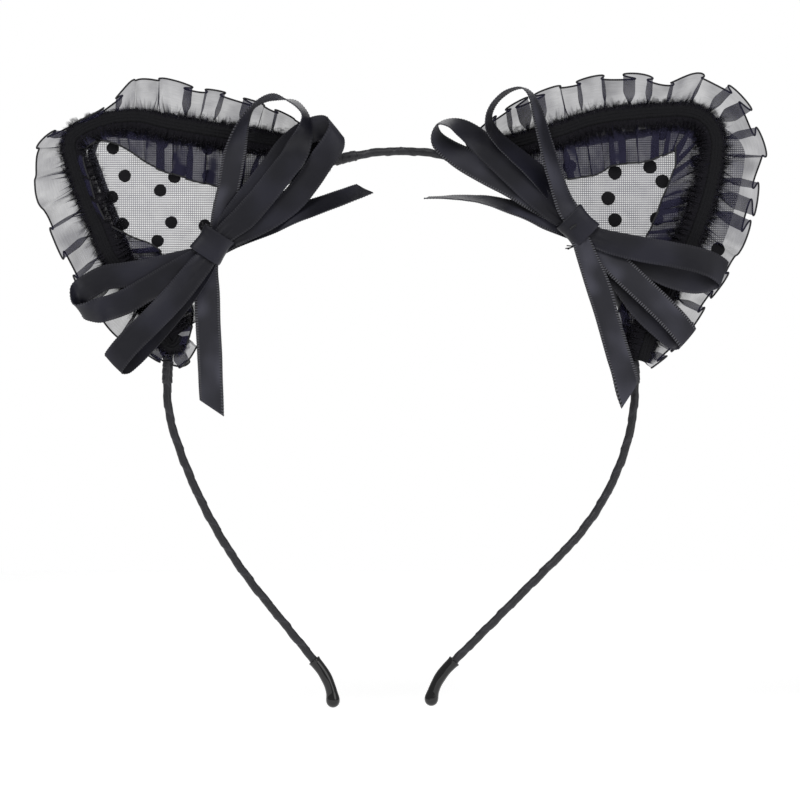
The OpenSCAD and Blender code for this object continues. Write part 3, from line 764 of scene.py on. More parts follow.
def gather_band(side, stations, seed):
    """The stitched middle of the trim: crushed gathers between rows of stitching. Also returns its middle line, the
    outward direction there and the marks."""
    band, _, t = ladder(stations, 900)
    d = tangents(band)
    out = np.stack([d[:, 1], -d[:, 0]], 1)
    fine = waves(t, 1.1, seed) + 0.6 * waves(t, 0.6, seed + 1)
    w = np.linspace(-1, 1, 30)
    half = BAND_HALF + 0.16 * waves(t, 6, seed + 4) + 0.12 * waves(t, 1.3, seed + 5)

    def row(v, y):
        return at_depth(band + out * (half * v)[:, None], y, side)

    front = []
    for v in w:
        stitching = 0.13 * np.cos(v * 4.5 * np.pi)
        crown = 0.75 * (1 - abs(v) ** 3)
        front.append(row(v, BAND_Y - crown - stitching * (1 - v * v) - 0.10 * fine * (0.4 + v * v)))
    back = [row(v, BAND_Y + 0.55 + 0.08 * fine * (1 - v * v)) for v in w[::-1]]
    m = Mesh()
    uv = uv_grid(t, np.concatenate([w, w[::-1], w[:1]]) * BAND_HALF)
    m.tube(np.array(front + back).transpose(1, 0, 2), uv, side == "right")
    return m.make(f"{side}_gathered_band", BAND), band, out, t


def frill(side, band, out, t, seed):
    """Crushed folds along both edges of the band, reaching in to the wire and a little way into the outer ruffle."""
    m = Mesh()
    tt = np.linspace(0, t[-1], len(t) * 3)
    b, o = at_marks(tt, t, band), at_marks(tt, t, out)
    d = tangents(b)
    steps = np.linspace(0, 1, 10)
    apex = np.exp(-((tt / t[-1] - 0.37) / 0.06) ** 2) if side == "left" else 0  # folded back at the left tip
    by_root = 7.0 if side == "left" else 1.8  # how much deeper it is beside the lower root
    for layer in (0, 1):
        # in to the wire, then out into the ruffle: how far it reaches, how far apart its layers are, how it leans
        for sign, base, apart, slope in ((-1, 3.6, -0.3, -0.5), (1, 2.2 - 1.5 * apex, 0.35, 0.15)):
            k = seed + 11 * layer + sign
            ripple = waves(tt, 1.7, k) + 0.4 * waves(tt, 0.7, k + 3)
            reach = base + 0.7 * waves(tt, 5.5, k + 6) + 0.3 * waves(tt, 2.1, k + 9)
            if sign == -1:  # deeper down the far side, and more so beside the lower root
                reach = reach + 1.8 * smooth01(tt, 0.45 * t[-1], 0.6 * t[-1])
                reach = reach + by_root * smooth01(tt, t[-1] - 24, t[-1] - 10)
            grid = []
            for v in steps:
                p = b + o * sign * (BAND_HALF - 0.5 + reach * v)[:, None] + d * (0.45 * ripple * v)[:, None]
                y = BAND_Y + apart * layer - 0.4 - 0.5 * ripple * np.sin(v * 2.2) + slope * v
                grid.append(at_depth(p, y, side))
            m.grid(np.array(grid).transpose(1, 0, 2), uv_grid(tt, steps))
    return m.make(f"{side}_crushed_gathers", FUZZ)


def inside(points, outline):
    """Which (x, z) points lie inside a closed outline."""
    x, z = points[:, 0], points[:, 1]
    hit = np.zeros(len(points), bool)
    a, b = outline, np.roll(outline, -1, axis=0)
    for (x0, z0), (x1, z1) in zip(a, b):
        if z0 == z1:
            continue
        cross = (z0 > z) != (z1 > z)
        at = x0 + (z - z0) * (x1 - x0) / (z1 - z0)
        hit ^= cross & (x < at)
    return hit


DOTS = {  # the flocked dots that the trim and the bow leave in view
    "left": [
        (-73, 60), (-70, 53), (-73.2, 47.6), (-70.5, 40.8), (-60.5, 61.3), (-57.4, 52.7), (-61, 49.3), (-58.2, 41.2),
        (-61.7, 36.5), (-48.8, 53), (-49.7, 40.4),
    ],
    "right": [
        (-54.2, 53.8), (-52.5, 47.3), (-54.2, 41.8), (-63.1, 55.3), (-66.2, 51.6), (-64.8, 42.1), (-42.7, 55.4),
        (-80.3, 34.4),
    ],
}
TULLE_MIDDLE = np.array([-60.0, 46.0])
TULLE_Y, DOT_Y = -1.28, -1.36
DOT_SPACE = (12.1, 12.2)  # mm from dot to dot along x and z; a second set is DOT_SHIFT away from the first
DOT_SHIFT = (3.2, -7.2)
DOT_START = {"left": (-73.1, 47.7), "right": (-66.0, 51.6)}
DOT_R = {"left": 1.6, "right": 1.75}
DOT_PROFILE = (  # part of the radius, depth in mm
    (1.0, 0.02), (0.99, -0.10), (0.93, -0.20), (0.8, -0.26), (0.6, -0.29), (0.35, -0.31), (0.12, -0.315),
)


def tulle_outline(side):
    """The panel's edge: under the band round the tip, and along the hoop's outside at the foot."""
    count = 160
    band = ladder(OUTER[side][:21], count)[0]
    d = tangents(band)
    out = np.stack([d[:, 1], -d[:, 0]], 1)
    allowance = np.full(count, 2.6)
    if side == "right":  # its cloth shows further out through the ruffle, down the far side
        turn = np.linspace(0, 1, count)
        allowance = 2.6 + 5.0 * smooth01(turn, 0.55, 0.62) * (1 - smooth01(turn, 0.86, 0.93))
    foot = np.array([(HOOP_R + 0.4) * ray(a) for a in np.linspace(ROOTS[1] - 1, ROOTS[0] + 1, 60)])
    return np.vstack([band + out * allowance[:, None], foot])


def tulle_panel(side, seed):
    outline = tulle_outline(side)
    closed = np.vstack([outline, outline[:1]])
    s = along_line(closed)
    closed = at_marks(np.linspace(0, s[-1], 420), s, closed)[:-1]
    m = Mesh()
    grid, uv = [], []
    for q in np.concatenate([[0.003], np.linspace(0.02, 1, 45)]):
        p = TULLE_MIDDLE + (closed - TULLE_MIDDLE) * q
        slack = 0.35 * np.sin(p[:, 0] / 9 + seed) * np.cos(p[:, 1] / 7) * (1 - q**4)
        grid.append(at_depth(p, TULLE_Y - 0.05 * q + slack * 0.8, side))
        uv.append(np.vstack([p, p[:1]]))
    m.grid(np.array(grid), np.array(uv), True, side == "right")
    m.fan(grid[0], grid[0].mean(0), tuple(TULLE_MIDDLE), flip=side == "right")
    return m.make(f"{side}_tulle_panel", TULLE[side]), outline


def flocked_dots(side, outline, seed):
    """The dots in view, and a regular set in the rest of the panel, under the trim and the bow."""
    shown = np.array(DOTS[side], float)
    lattice = np.array([
        np.array(DOT_START[side]) + [DOT_SPACE[0] * i + dx, DOT_SPACE[1] * j + dz]
        for i in range(-4, 7) for j in range(-5, 4) for dx, dz in ((0, 0), DOT_SHIFT)
    ])
    keep = inside(lattice, TULLE_MIDDLE + (outline - TULLE_MIDDLE) * 0.95)
    keep &= np.linalg.norm(lattice, axis=1) > HOOP_R + 4
    keep &= np.linalg.norm(lattice[:, None] - shown[None], axis=2).min(1) > 5.5
    r = np.random.default_rng(seed)
    around = 40
    a = np.linspace(0, 2 * np.pi, around, endpoint=False)
    uv = uv_grid(np.arange(len(DOT_PROFILE)) * 0.15, np.linspace(0, 6, around + 1))
    flip = side == "left"
    m = Mesh()
    for cx, cz in np.vstack([shown, lattice[keep]]):
        edge = DOT_R[side] + 0.04 * np.sin(3 * a + r.uniform(0, 6)) + 0.02 * np.sin(7 * a + r.uniform(0, 6))
        edge = edge + r.uniform(-0.02, 0.02, around)
        g = np.array([
            np.stack([(cx + q * edge * np.cos(a)) * MIRROR[side], DOT_Y + h + r.uniform(-0.008, 0.008, around),
                      cz + q * edge * np.sin(a)], 1) for q, h in DOT_PROFILE
        ])
        m.grid(g, uv, True, flip)
        m.fan(g[-1], g[-1].mean(0), (0, 0), flip=flip)
        m.fan(g[0], g[0].mean(0), (0, 0), flip=not flip)
    return m.make(f"{side}_flocked_dots", FLOCK)


def ruffle(name, folded, flip, material, hem_r):
    """A ruffle of organza and the thread along its hem."""
    grid, uv = folded
    cloth, hem = Mesh(), Mesh()
    cloth.grid(grid, uv, flip=flip)
    thread_tube(hem, grid[:, -1], hem_r)
    return cloth.make(f"{name}_frill", material), hem.make(f"{name}_hem", THREAD)


def bound_turns(side):
    """The bindings: a few tight turns of ribbon over the hoop beside each leg's foot."""
    m = Mesh()
    for a0, a1 in ((ROOTS[0] - 5.2, ROOTS[0] + 0.6), (ROOTS[1] - 0.6, ROOTS[1] + 5.2)):
        p = arc(np.zeros(2), HOOP_R, a0, a1)
        p, s = stretch(p, 0, along_line(p)[-1], 0.12)

        def turns(u, a, total=s[-1]):
            ends = smooth01(u, 0, 0.35) * (1 - smooth01(u, total - 0.35, total))
            f = np.mod(u / 1.7 + a / (2 * np.pi), 1.0)
            return 1.08 + ends * (0.20 + 0.13 * f * (1 - smooth01(f, 0.9, 1.0)) + 0.03 * np.sin(3 * a + u))

        m.tube(sweep_round(p, s, turns, 32, side), uv_grid(s, np.linspace(0, 1, 33)), side == "left")
    return m.make(f"{side}_bound_turns", WRAP)


for index, side in enumerate(SIDES):
    seed = 11 + 40 * index
    line = ear_wire_line(side)
    part = stretch(line, 0.6, along_line(line)[-1] - 0.6, 0.18)
    wire = wound_piece(f"{side}_ear_winding", *part, side, hand=-1.0, around=24, pitch=6.4, phase=0.3)
    bend_ear(wire)
    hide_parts(f"{side}_ear_wire_wrap", f"{side}_ear_root_wraps")

    folded = pleated(OUTER[side], side, seed, folds=27, depth=1.9, overlap=2.0, lift=0.5)
    outer, outer_hem = ruffle(f"{side}_outer", folded, side == "left", ORGANZA, 0.23)
    folded = pleated(
        INNER[side], side, seed + 17, folds=34, depth=0.6, overlap=1.3, lift=-0.5, calm=(0, 1), step=0.3
    )
    inner, inner_hem = ruffle(f"{side}_inner", folded, side == "right", INNER_ORGANZA, 0.22)
    band, middle_line, out, t = gather_band(side, OUTER[side], seed + 5)
    crushed = frill(side, middle_line, out, t, seed + 9)
    tulle, outline = tulle_panel(side, seed)
    dots = flocked_dots(side, outline, seed + 2)
    for o in (outer, outer_hem, inner, inner_hem, band, crushed, tulle, dots):
        bend_ear(o)
    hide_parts(f"{side}_outer_ruffle", f"{side}_root_ruffles")
    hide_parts(f"{side}_inner_ruffle")
    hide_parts(f"{side}_gather_band")
    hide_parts(f"{side}_tulle")
    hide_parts(f"{side}_tulle_dots")

    binding = bound_turns(side)
    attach(binding, f"{side}_side")
    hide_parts(f"{side}_ear_bindings")

# ---------------------------------------------------------------- the bows
# Each ribbon is given by stations (left edge x, z, right edge x, z, depth y, lean, width) in mm, as seen from the
# front. lean 1 puts the right edge behind the left one as far as the ribbon's width asks, -1 puts it as far in front,
# and 0 keeps it face on. The width is that of the whole ribbon where none is given. The right side isn't mirrored here.
FULL = 6.35
RIBBONS = {
    "left": {
        "loop_a": [
            (-49.3, 35.2, -46.0, 33.4, -4.7, 0, 4.2), (-48.6, 39.6, -44.0, 39.8, -4.9, 1, 5.2),
            (-47.9, 44.4, -42.2, 45.6, -5.6, 1), (-46.6, 50.4, -40.6, 52.2, -6.4, 1),
            (-45.5, 57, -39.5, 58.6, -7.2, 1), (-43.8, 62.3, -39.0, 63.4, -7.9, 1),
            (-41.4, 66.9, -38.5, 66.9, -8.5, 1), (-38.2, 70.8, -37.3, 70.2, -9.2, 1),
            (-34.5, 73.5, -34.1, 72.0, -9.6, 1), (-31.9, 73.9, -31.4, 72.4, -9.8, 1),
            (-29.4, 72.6, -29.4, 72.5, -10, 1), (-26.8, 70.8, -26.4, 72.1, -10, 1),
            (-25.2, 68.6, -24.0, 69.7, -10, 1), (-25.9, 66.0, -22.9, 67.2, -9.9, 1),
            (-27.8, 62.9, -22.6, 63.0, -9.7, 1), (-30.0, 59.6, -24.3, 56.8, -9.3, 1),
            (-33.0, 55.8, -27.8, 52.0, -8.8, 0), (-38.0, 49.4, -33.1, 45.4, -8.1, 0),
            (-42.5, 44.2, -37.9, 40.2, -7.4, 0), (-46.6, 40.0, -42.9, 36.6, -6.9, 0, 5.2),
            (-49.2, 35.8, -46.2, 33.2, -6.3, 0, 4.2),
        ],
        "loop_b": [
            (-49.1, 35.2, -46.2, 33.0, -5.1, 0, 4.0), (-46.6, 41.8, -42.4, 38.4, -5.5, 0, 5.4),
            (-39.5, 51.4, -34.6, 47.5, -6.2, 0), (-34.8, 57.4, -29.8, 53.5, -6.5, 0),
            (-31.0, 62.4, -26.1, 58.4, -6.5, 0), (-26.4, 66.3, -22.3, 61.5, -6.4, 0),
            (-22.0, 68.2, -19.6, 62.6, -6.2, 1), (-18.9, 68.1, -15.0, 63.2, -6.9, 1),
            (-18.2, 65.9, -14.4, 61.3, -7.9, 1), (-19.9, 62.6, -15.2, 58.7, -8.2, 1),
            (-22.3, 59.5, -17.3, 55.6, -8.0, 0), (-26.0, 54.0, -21.0, 50.1, -7.4, 0),
            (-30.1, 48.9, -25.5, 44.7, -6.9, 0), (-34.8, 45.4, -31.3, 40.6, -6.5, 0),
            (-41.2, 41.6, -38.2, 36.8, -6.1, 0, 5.6), (-45.9, 38.2, -43.6, 34.2, -5.8, 0, 4.6),
            (-48.6, 35.6, -47.0, 32.2, -5.6, 0, 4.0),
        ],
        "loop_c": [
            (-46.4, 36.2, -46.0, 32.4, -4.9, 0, 4.0), (-52.0, 35.0, -51.0, 29.6, -5.0, 0, 5.4),
            (-57.5, 33.8, -56.3, 27.6, -5.1, 0), (-64.0, 32.2, -63.0, 26.0, -5.2, 0),
            (-70.5, 31.0, -70.2, 24.9, -5.3, 0), (-76.0, 30.2, -74.7, 24.2, -5.2, 0),
            (-80.2, 28.1, -77.0, 22.9, -5.2, 0), (-83.0, 25.8, -79.7, 21.2, -5.7, 0),
            (-83.9, 22.5, -81.1, 19.2, -6.4, 1), (-83.0, 20.4, -80.7, 17.2, -7.0, 1),
            (-80.4, 20.7, -78.8, 16.3, -7.2, 1), (-76.3, 22.3, -74.8, 16.2, -7.1, 0),
            (-71.4, 24.1, -69.2, 18.0, -6.8, 0), (-65.8, 27.2, -62.9, 21.5, -6.5, 0),
            (-59.8, 30.7, -56.6, 25.2, -6.1, 0), (-53.2, 34.2, -50.4, 29.6, -5.7, 0, 5.4),
            (-46.8, 36.4, -45.6, 32.6, -5.4, 0, 4.0),
        ],
        "loop_d": [
            (-49.2, 35.8, -46.0, 32.6, -6.6, 0, 4.2), (-53.2, 32.4, -49.0, 28.0, -7.4, 0, 5.8),
            (-59.0, 25.6, -54.3, 21.2, -8.6, 0), (-65.3, 18.8, -60.8, 14.4, -9.6, 0),
            (-70.6, 13.8, -66.0, 9.1, -10.1, 0), (-73.9, 10.1, -69.3, 5.3, -10.2, 0),
            (-75.3, 7.8, -70.7, 2.9, -9.3, 0), (-73.6, 7.6, -69.2, 2.9, -8.2, 0), (-70.9, 9.6, -66.6, 4.9, -7.4, 0),
            (-66.6, 14.0, -62.3, 9.3, -6.9, 0), (-62.4, 18.8, -58.1, 14.2, -6.5, 0),
            (-57.6, 24.8, -53.2, 20.3, -6.2, 0), (-52.4, 31.2, -48.4, 27.6, -5.9, 0, 5.4),
            (-49.0, 35.2, -46.2, 32.6, -5.8, 0, 4.0),
        ],
        "tail_one": [
            (-48.6, 35.6, -47.0, 32.0, -3.9, 0, 4.0), (-44.0, 39.2, -41.9, 34.7, -4.2, 0, 5.0),
            (-35.6, 43.4, -33.0, 38.2, -4.9, 0, 5.9), (-29.8, 45.6, -27.6, 40.6, -5.7, -1),
            (-24.4, 46.9, -22.5, 42.6, -6.4, -1), (-17.6, 49.0, -15.8, 45.2, -6.8, -1),
            (-11.4, 51.0, -7.0, 48.8, -7.0, -1, 8.0),
        ],
        "tail_two": [
            (-50.0, 34.4, -46.0, 34.2, -3.9, 0, 4.0), (-51.6, 29.2, -46.5, 29.4, -4.1, 0, 5.2),
            (-52.3, 23.5, -46.1, 23.6, -4.5, 0), (-52.1, 15.5, -45.9, 15.8, -4.9, 0),
            (-51.6, 8.0, -45.6, 8.2, -4.6, 0), (-51.4, 2.0, -45.3, 0.8, -5.0, 0),
            (-51.1, -3.9, -45.0, -8.0, -5.3, 0, 7.4),
        ],
    },
    "right": {
        "loop_a": [
            (43.0, 39.4, 46.0, 41.8, -4.9, 0, 4.2), (38.8, 45.6, 42.6, 48.6, -5.6, 0, 5.4),
            (32.6, 52.2, 36.8, 55.2, -6.6, 1), (27.4, 57.4, 30.9, 59.8, -7.4, 1), (23.7, 61.3, 26.8, 63.0, -8.0, 1),
            (21.6, 64.7, 24.1, 65.9, -8.4, 1), (21.5, 68.0, 23.1, 68.0, -8.8, 1), (22.7, 71.1, 23.8, 70.5, -9.1, 1),
            (25.0, 73.7, 25.7, 72.9, -9.4, 1), (27.5, 75.2, 28.0, 74.5, -9.7, 1), (30.3, 75.6, 30.3, 75.3, -9.9, 1),
            (31.7, 74.6, 32.0, 75.2, -10, 1), (32.7, 72.5, 34.1, 73.4, -10, 1), (33.2, 69.5, 35.7, 70.4, -10, 1),
            (34.0, 65.8, 37.1, 66.3, -9.8, 1), (35.2, 60.1, 39.0, 60.5, -9.4, 1), (36.8, 53.5, 41.0, 54.2, -8.8, 1),
            (38.6, 47.4, 43.2, 48.4, -8.2, 1), (40.9, 42.6, 45.3, 44.0, -7.5, 0, 5.2),
            (43.2, 39.2, 46.4, 41.2, -6.8, 0, 4.2),
        ],
        "loop_b": [
            (43.2, 38.3, 45.4, 41.8, -4.6, 0, 4.0), (38.5, 41.2, 41.2, 45.8, -4.9, 0, 5.4),
            (33.0, 44.2, 36.0, 49.6, -5.2, 0), (26.3, 48.2, 29.4, 53.6, -5.4, 0), (21.6, 50.6, 24.8, 56.0, -5.4, 0),
            (15.5, 54.2, 18.8, 59.2, -5.3, 0), (10.0, 58.2, 13.7, 62.0, -5.2, 1), (7.9, 60.8, 11.0, 63.6, -5.4, 1),
            (7.7, 63.4, 9.9, 64.7, -5.8, 1), (9.2, 66.1, 9.5, 66.3, -6.4, 1), (11.9, 65.6, 12.0, 67.6, -6.9, 1),
            (14.2, 63.4, 15.6, 67.6, -7.1, 1), (16.6, 61.0, 19.4, 66.0, -7.2, 1), (21.3, 56.6, 25.6, 60.4, -7.0, 0),
            (26.6, 51.4, 31.0, 55.4, -6.6, 0), (31.8, 46.4, 36.2, 50.6, -6.2, 0),
            (37.8, 41.6, 41.2, 45.2, -5.7, 0, 5.2), (43.0, 38.6, 45.6, 41.6, -5.3, 0, 4.0),
        ],
        "loop_c": [
            (44.0, 37.8, 45.2, 41.8, -6.2, 0, 4.2), (50.2, 34.4, 50.8, 39.6, -7.0, 0, 5.6),
            (59.8, 31.5, 60.8, 37.8, -8.3, 0), (68.4, 30.0, 69.5, 36.3, -9.1, 0), (75.4, 28.5, 77.0, 34.6, -9.4, 0),
            (79.4, 27.0, 81.2, 32.6, -9.0, 0), (81.2, 25.7, 82.9, 30.4, -8.2, 0), (79.6, 24.6, 81.2, 29.8, -7.2, 0),
            (74.6, 23.3, 75.8, 29.4, -6.4, 0), (67.6, 24.8, 68.9, 31.0, -6.0, 0), (61.8, 27.6, 63.5, 33.7, -5.7, 0),
            (54.8, 31.6, 56.6, 37.4, -5.4, 0), (49.4, 35.2, 50.6, 39.8, -5.1, 0, 5.0),
            (44.0, 38.2, 45.2, 41.8, -5.0, 0, 4.0),
        ],
        "loop_d": [
            (43.4, 38.2, 46.0, 41.0, -5.6, 0, 4.2), (48.2, 33.6, 51.8, 37.4, -6.0, 0, 5.4),
            (52.2, 28.8, 56.7, 32.9, -6.7, 0), (58.5, 22.6, 63.0, 27.1, -7.5, 0), (65.0, 16.4, 69.4, 21.0, -8.1, 0),
            (69.0, 12.0, 73.4, 16.6, -8.1, 0), (70.7, 9.4, 74.8, 14.2, -7.3, 0), (69.0, 9.0, 73.1, 13.8, -6.4, 0),
            (63.8, 12.8, 68.1, 17.4, -5.8, 0), (58.4, 18.2, 62.9, 22.6, -5.4, 0), (53.8, 24.8, 58.5, 29.0, -5.0, 0),
            (49.0, 31.6, 53.0, 35.4, -4.7, 0, 5.4), (43.6, 38.2, 46.0, 41.0, -4.5, 0, 4.0),
        ],
        "tail_one": [
            (43.0, 36.9, 44.8, 41.4, -3.9, 0, 4.8), (37.2, 39.1, 38.8, 44.7, -4.0, 1, 6.0),
            (32.0, 41.7, 32.8, 46.0, -4.3, 1), (26.9, 43.7, 27.4, 47.2, -4.6, 1), (21.9, 45.7, 21.8, 48.1, -4.9, 1),
            (15.5, 47.0, 15.3, 48.2, -5.0, 1), (9.8, 47.4, 9.9, 47.9, -5.1, 1), (5.8, 47.4, 7.2, 47.8, -5.2, 1, 7.6),
        ],
        "tail_two": [
            (43.0, 38.6, 47.0, 39.4, -6.9, 0, 4.2), (44.4, 33.4, 49.6, 33.6, -7.9, 0, 5.4),
            (46.9, 25.0, 53.1, 25.6, -8.7, 0), (49.2, 17.8, 55.4, 17.2, -8.9, 0), (52.3, 7.2, 58.3, 7.6, -8.5, 0),
            (54.2, 1.0, 59.8, 2.4, -8.3, 0), (56.1, -5.9, 59.9, 0.0, -8.2, 0, 7.3),
        ],
    },
}


def in_depth(x, y, z):
    """The place at depth y that the camera sees where (x, z) is in the plane of the hoop."""
    from_x, from_y, from_z = CAMERA_AT
    k = 1 - y / from_y
    return np.array([from_x + (x - from_x) * k, y, from_z + (z - from_z) * k])


def welded(o):
    """Joins the grids of one piece where their points meet."""
    b = bmesh.new()
    b.from_mesh(o.data)
    bmesh.ops.remove_doubles(b, verts=b.verts, dist=0.002 * MM)
    b.to_mesh(o.data)
    b.free()
    return o


def ribbon(name, stations, seed, matt_at):
    """A closed strip of satin ribbon with a thicker selvedge along both edges. Its matt side is the one that is to
    the front at matt_at, a fraction of its length; where matt_at is None both its sides are smooth."""
    rows = []
    for xl, zl, xr, zr, y, lean, *width in stations:
        w = width[0] if width else FULL
        seen = math.hypot(xr - xl, zr - zl)
        turned = lean * math.sqrt(max(w * w - seen * seen, 0.0))
        left, right = in_depth(xl, y - turned / 2, zl), in_depth(xr, y + turned / 2, zr)
        rows.append(np.concatenate([(left + right) / 2, right - left, [w]]))
    line = spline(rows, per=40)
    marks = along_line(line[:, :3])
    s = np.linspace(0, marks[-1], int(round(marks[-1] / 0.13)) + 1)
    line = at_marks(s, marks, line)
    middle, half = line[:, :3], line[:, 3:6]
    half = half / np.linalg.norm(half, axis=1, keepdims=True) * (line[:, 6:7] / 2)
    t = tangents(middle)
    n = np.cross(t, half)
    n /= np.linalg.norm(n, axis=1, keepdims=True)
    v = np.array([0, 0.2, 0.42, 0.66, 0.83, 0.88, 0.93, 0.975, 1])
    v = np.concatenate([-v[:0:-1], v])
    tick = np.sin(2 * np.pi * s / TICK)
    edge = smooth01(np.abs(v), 0.86, 0.93)
    narrow = np.clip(line[:, 6] / FULL, 0, 1)
    crown = 0.16 + 0.14 * waves(s, 25, seed) + 0.5 * (1 - narrow)
    flute = 0.28 * (1 - narrow) ** 0.5 * smooth01(FULL - line[:, 6], 0.2, 1.2)
    faces = []
    for sign in (1, -1):
        thick = 0.12 + edge[None, :] * (0.04 + 0.05 * tick[:, None])
        thick = thick * np.where(np.abs(v) == 1, 0.35, 1.0)[None, :]
        bulge = crown[:, None] * (1 - v[None, :] ** 2) + flute[:, None] * np.cos(v[None, :] * 3 * np.pi + seed)
        bulge = bulge + 0.05 * waves(s, 9, seed + 3)[:, None] * v[None, :]
        off = bulge + sign * thick
        reach = v[None, :] * (1 + 0.014 * tick[:, None] * (np.abs(v)[None, :] > 0.95))
        p = middle[:, None] + half[:, None] * reach[:, :, None] + n[:, None] * off[:, :, None]
        faces.append(p[:, ::sign])
    loop = np.concatenate(faces, 1)
    matt_side = 0
    if matt_at is not None:
        matt_side = 1 if n[int(matt_at * (len(n) - 1)), 1] < 0 else -1
    one, other = faces
    m = Mesh()
    for sign, near, far in ((1, one, other), (-1, other, one)):
        across = v * FULL / 2 + (MATT_SHIFT if sign == matt_side else 0)
        m.grid(near[:, ::sign], uv_grid(s, across), flip=sign == 1)
        # the thin edge between the two sides, ribbed as the selvedge is
        m.grid(np.stack([near[:, -1], far[:, 0]], 1), uv_grid(s, RIM_ACROSS), flip=True)
    m.fan(loop[0], loop[0].mean(0), (0, 0))
    m.fan(loop[-1], loop[-1].mean(0), (s[-1], 0), flip=True)
    return welded(m.make(name, SATIN))


KNOTS = {  # middle x, z, the axis's direction in degrees, half the knot's length along it, half its width
    "left": (-47.4, 35.3, 55, 3.5, 4.2),
    "right": (44.4, 39.9, 133, 3.5, 4.1),
}
KNOT_FRONT, KNOT_BACK, KNOT_THICK = -8.1, -3.15, 0.28
# Where along each of the six strips its matt side is to the front; None leaves both sides smooth
MATT_AT = {"left": (0.2, None, None, None, None, 0.5), "right": (0.8, 0.2, None, 0.2, 0.5, 0.5)}


def bow_knot(side, seed):
    """A ribbon wound once round the bundle, creased and pulled in a little at the middle."""
    cx, cz, angle, half_len, half_w = KNOTS[side]
    u = ray(angle)
    w = np.array([u[1], -u[0]])
    rows = np.linspace(-1, 1, 44)
    a = np.linspace(0, 2 * np.pi, 96, endpoint=False)
    cos, sin = np.cos(a), np.sin(a)
    squared = 2.0 / 3.6  # the knot's outline is squarer than an ellipse
    skew = 0.35 * np.sin(a + 0.6) * half_len * 0.25
    layers = []
    for inset in (0, KNOT_THICK):
        grid = []
        for q in rows:
            wide = half_w * (0.97 + 0.09 * q * q) - inset
            deep = (KNOT_BACK - KNOT_FRONT) / 2 - inset + 0.18 * q * q
            crease = 0.05 * np.sin(q * 4 + 1.2 * sin + seed) + 0.05 * np.exp(-((q - 0.3 + 0.25 * cos) / 0.16) ** 2)
            lip = -0.10 * smooth01(abs(q), 0.8, 1.0)
            k = 1 + (crease + lip) / half_w
            px = wide * np.sign(cos) * np.abs(cos) ** squared * k
            py = deep * np.sign(sin) * np.abs(sin) ** squared * k
            along = q * half_len + skew
            grid.append(np.stack([cx + w[0] * px + u[0] * along, (KNOT_FRONT + KNOT_BACK) / 2 + py,
                                  cz + w[1] * px + u[1] * along], 1))
        layers.append(np.array(grid))
    outer, inner = layers
    m = Mesh()
    uv = uv_grid(np.concatenate([rows, rows[::-1], rows[:1]]) * 2.3, np.linspace(0, 22, 97))
    m.grid(np.concatenate([outer, inner[::-1], outer[:1]]), uv[:, :, ::-1], True)
    return m.make(f"{side}_knot_band", SATIN)


def stitch(side, seed):
    """The tacking thread: turns round the hoop behind the knot, and strands that run forward to it."""
    cx, cz = BOW_AT[side] * (MIRROR[side], 1)
    t = np.array([-cz, cx]) / HOOP_R
    radial = np.array([cx, cz]) / HOOP_R
    r = np.random.default_rng(seed)
    m = Mesh()
    a = np.linspace(0, 2 * np.pi, 60)
    reach = 1.42
    for shift in (-0.55, 0.0, 0.6):
        slip = shift + 0.25 * np.sin(a)
        p = np.stack([cx + t[0] * slip + radial[0] * reach * np.cos(a), reach * np.sin(a),
                      cz + t[1] * slip + radial[1] * reach * np.cos(a)], 1)
        thread_tube(m, p, 0.17)
    for _ in range(3):
        a0 = r.uniform(0, 2 * np.pi)
        ends = [(cx + d * math.cos(a0), y, cz + d * math.sin(a0)) for d, y in ((0, -1.3), (0.3, -2.2), (1.2, -3.4))]
        thread_tube(m, spline(ends, per=12), 0.14)
    return m.make(f"{side}_tack_thread", THREAD)


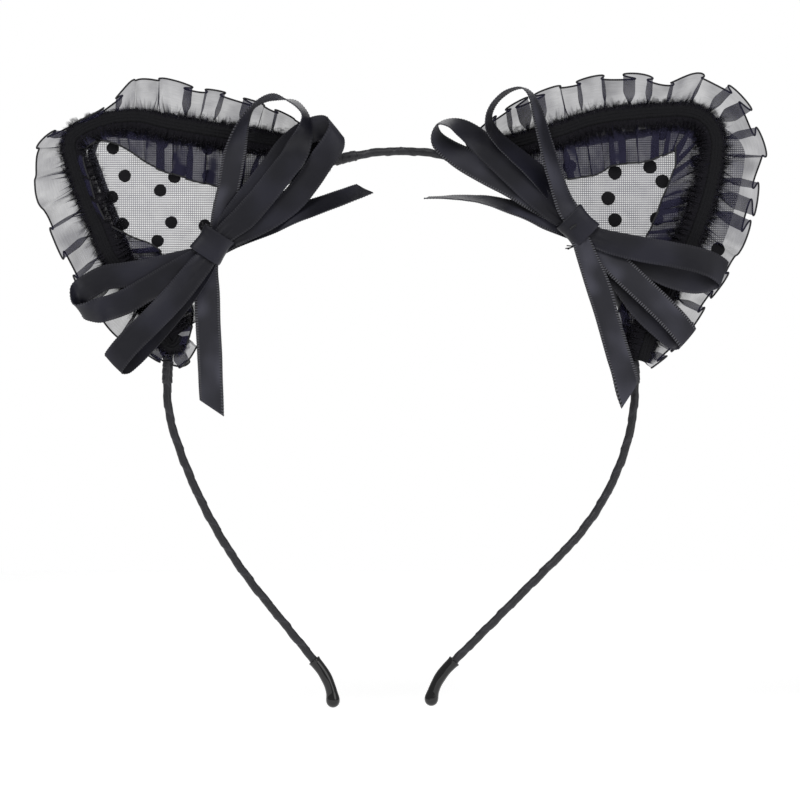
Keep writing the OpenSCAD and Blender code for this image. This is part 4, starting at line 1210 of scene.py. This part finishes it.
def tuft(side, at, ways, seed):
    """Cut ends of the tacking thread that stick out beside the knot."""
    m = Mesh()
    r = np.random.default_rng(seed)
    x, y, z = at
    for angle, size in ways:
        d = ray(angle)
        bow = r.uniform(-0.5, 0.5)
        half = (x + d[0] * size * 0.5 - d[1] * bow, y - 0.25, z + d[1] * size * 0.5 + d[0] * bow)
        tip = (x + d[0] * size, y - r.uniform(0.1, 0.6), z + d[1] * size)
        thread_tube(m, spline([at, half, tip], per=10), 0.16)
    return m.make(f"{side}_thread_ends", THREAD)


for index, side in enumerate(SIDES):
    strips = {}
    for k, (part, stations) in enumerate(RIBBONS[side].items()):
        strips[part] = ribbon(f"{side}_bow_{part}", stations, 3 + 7 * k + 50 * index, MATT_AT[side][k])
        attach(strips[part], f"{side}_bow")
    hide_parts(f"{side}_bow_front_ribbon")
    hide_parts(f"{side}_bow_back_ribbon")
    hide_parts(f"{side}_bow_tails")
    knot = bow_knot(side, 4 + index)
    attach(knot, f"{side}_bow")
    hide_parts(f"{side}_bow_knot")
    thread = stitch(side, 8 + index)
    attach(thread, f"{side}_side")
    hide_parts(f"{side}_tack_stitch")

ends = tuft("left", (-48.6, -4.4, 38.4), ((140, 2.4), (118, 3.0), (95, 2.0), (160, 1.6)), 3)
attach(ends, "left_bow")
ends = tuft("right", (44.6, -4.6, 35.9), ((206, 3.6), (196, 3.0), (214, 3.2), (30, 4.4)), 4)
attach(ends, "right_bow")
tack = Mesh()  # one pass of the tacking thread that shows on the front of the right knot
over = [(42.3, -7.9, 39.0), (42.8, -8.35, 39.4), (43.4, -8.4, 39.8), (43.9, -7.95, 40.1)]
thread_tube(tack, spline(over, per=8), 0.26)
tack = tack.make("right_front_tack", THREAD)
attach(tack, "right_bow")

# ---------------------------------------------------------------- what stays from the CAD, and the floor
for name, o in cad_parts.items():
    if o.hide_render:
        continue
    material = STEEL if name.endswith("wire") or name.endswith("wires") else THREAD if "stitch" in name else SATIN
    o.data.materials.clear()
    o.data.materials.append(material)

floor_mesh = bpy.data.meshes.new("floor")
low = cad_box[0][2] - 0.012  # the arms reach a little lower when they are spread
corners = [(-0.6, -0.35, low), (0.6, -0.35, low), (0.6, 0.6, low), (-0.6, 0.6, low)]
floor_mesh.from_pydata(corners, [], [(0, 1, 2, 3)])
floor_mesh.materials.append(floor_material())
floor = bpy.data.objects.new("floor", floor_mesh)
scene.collection.objects.link(floor)
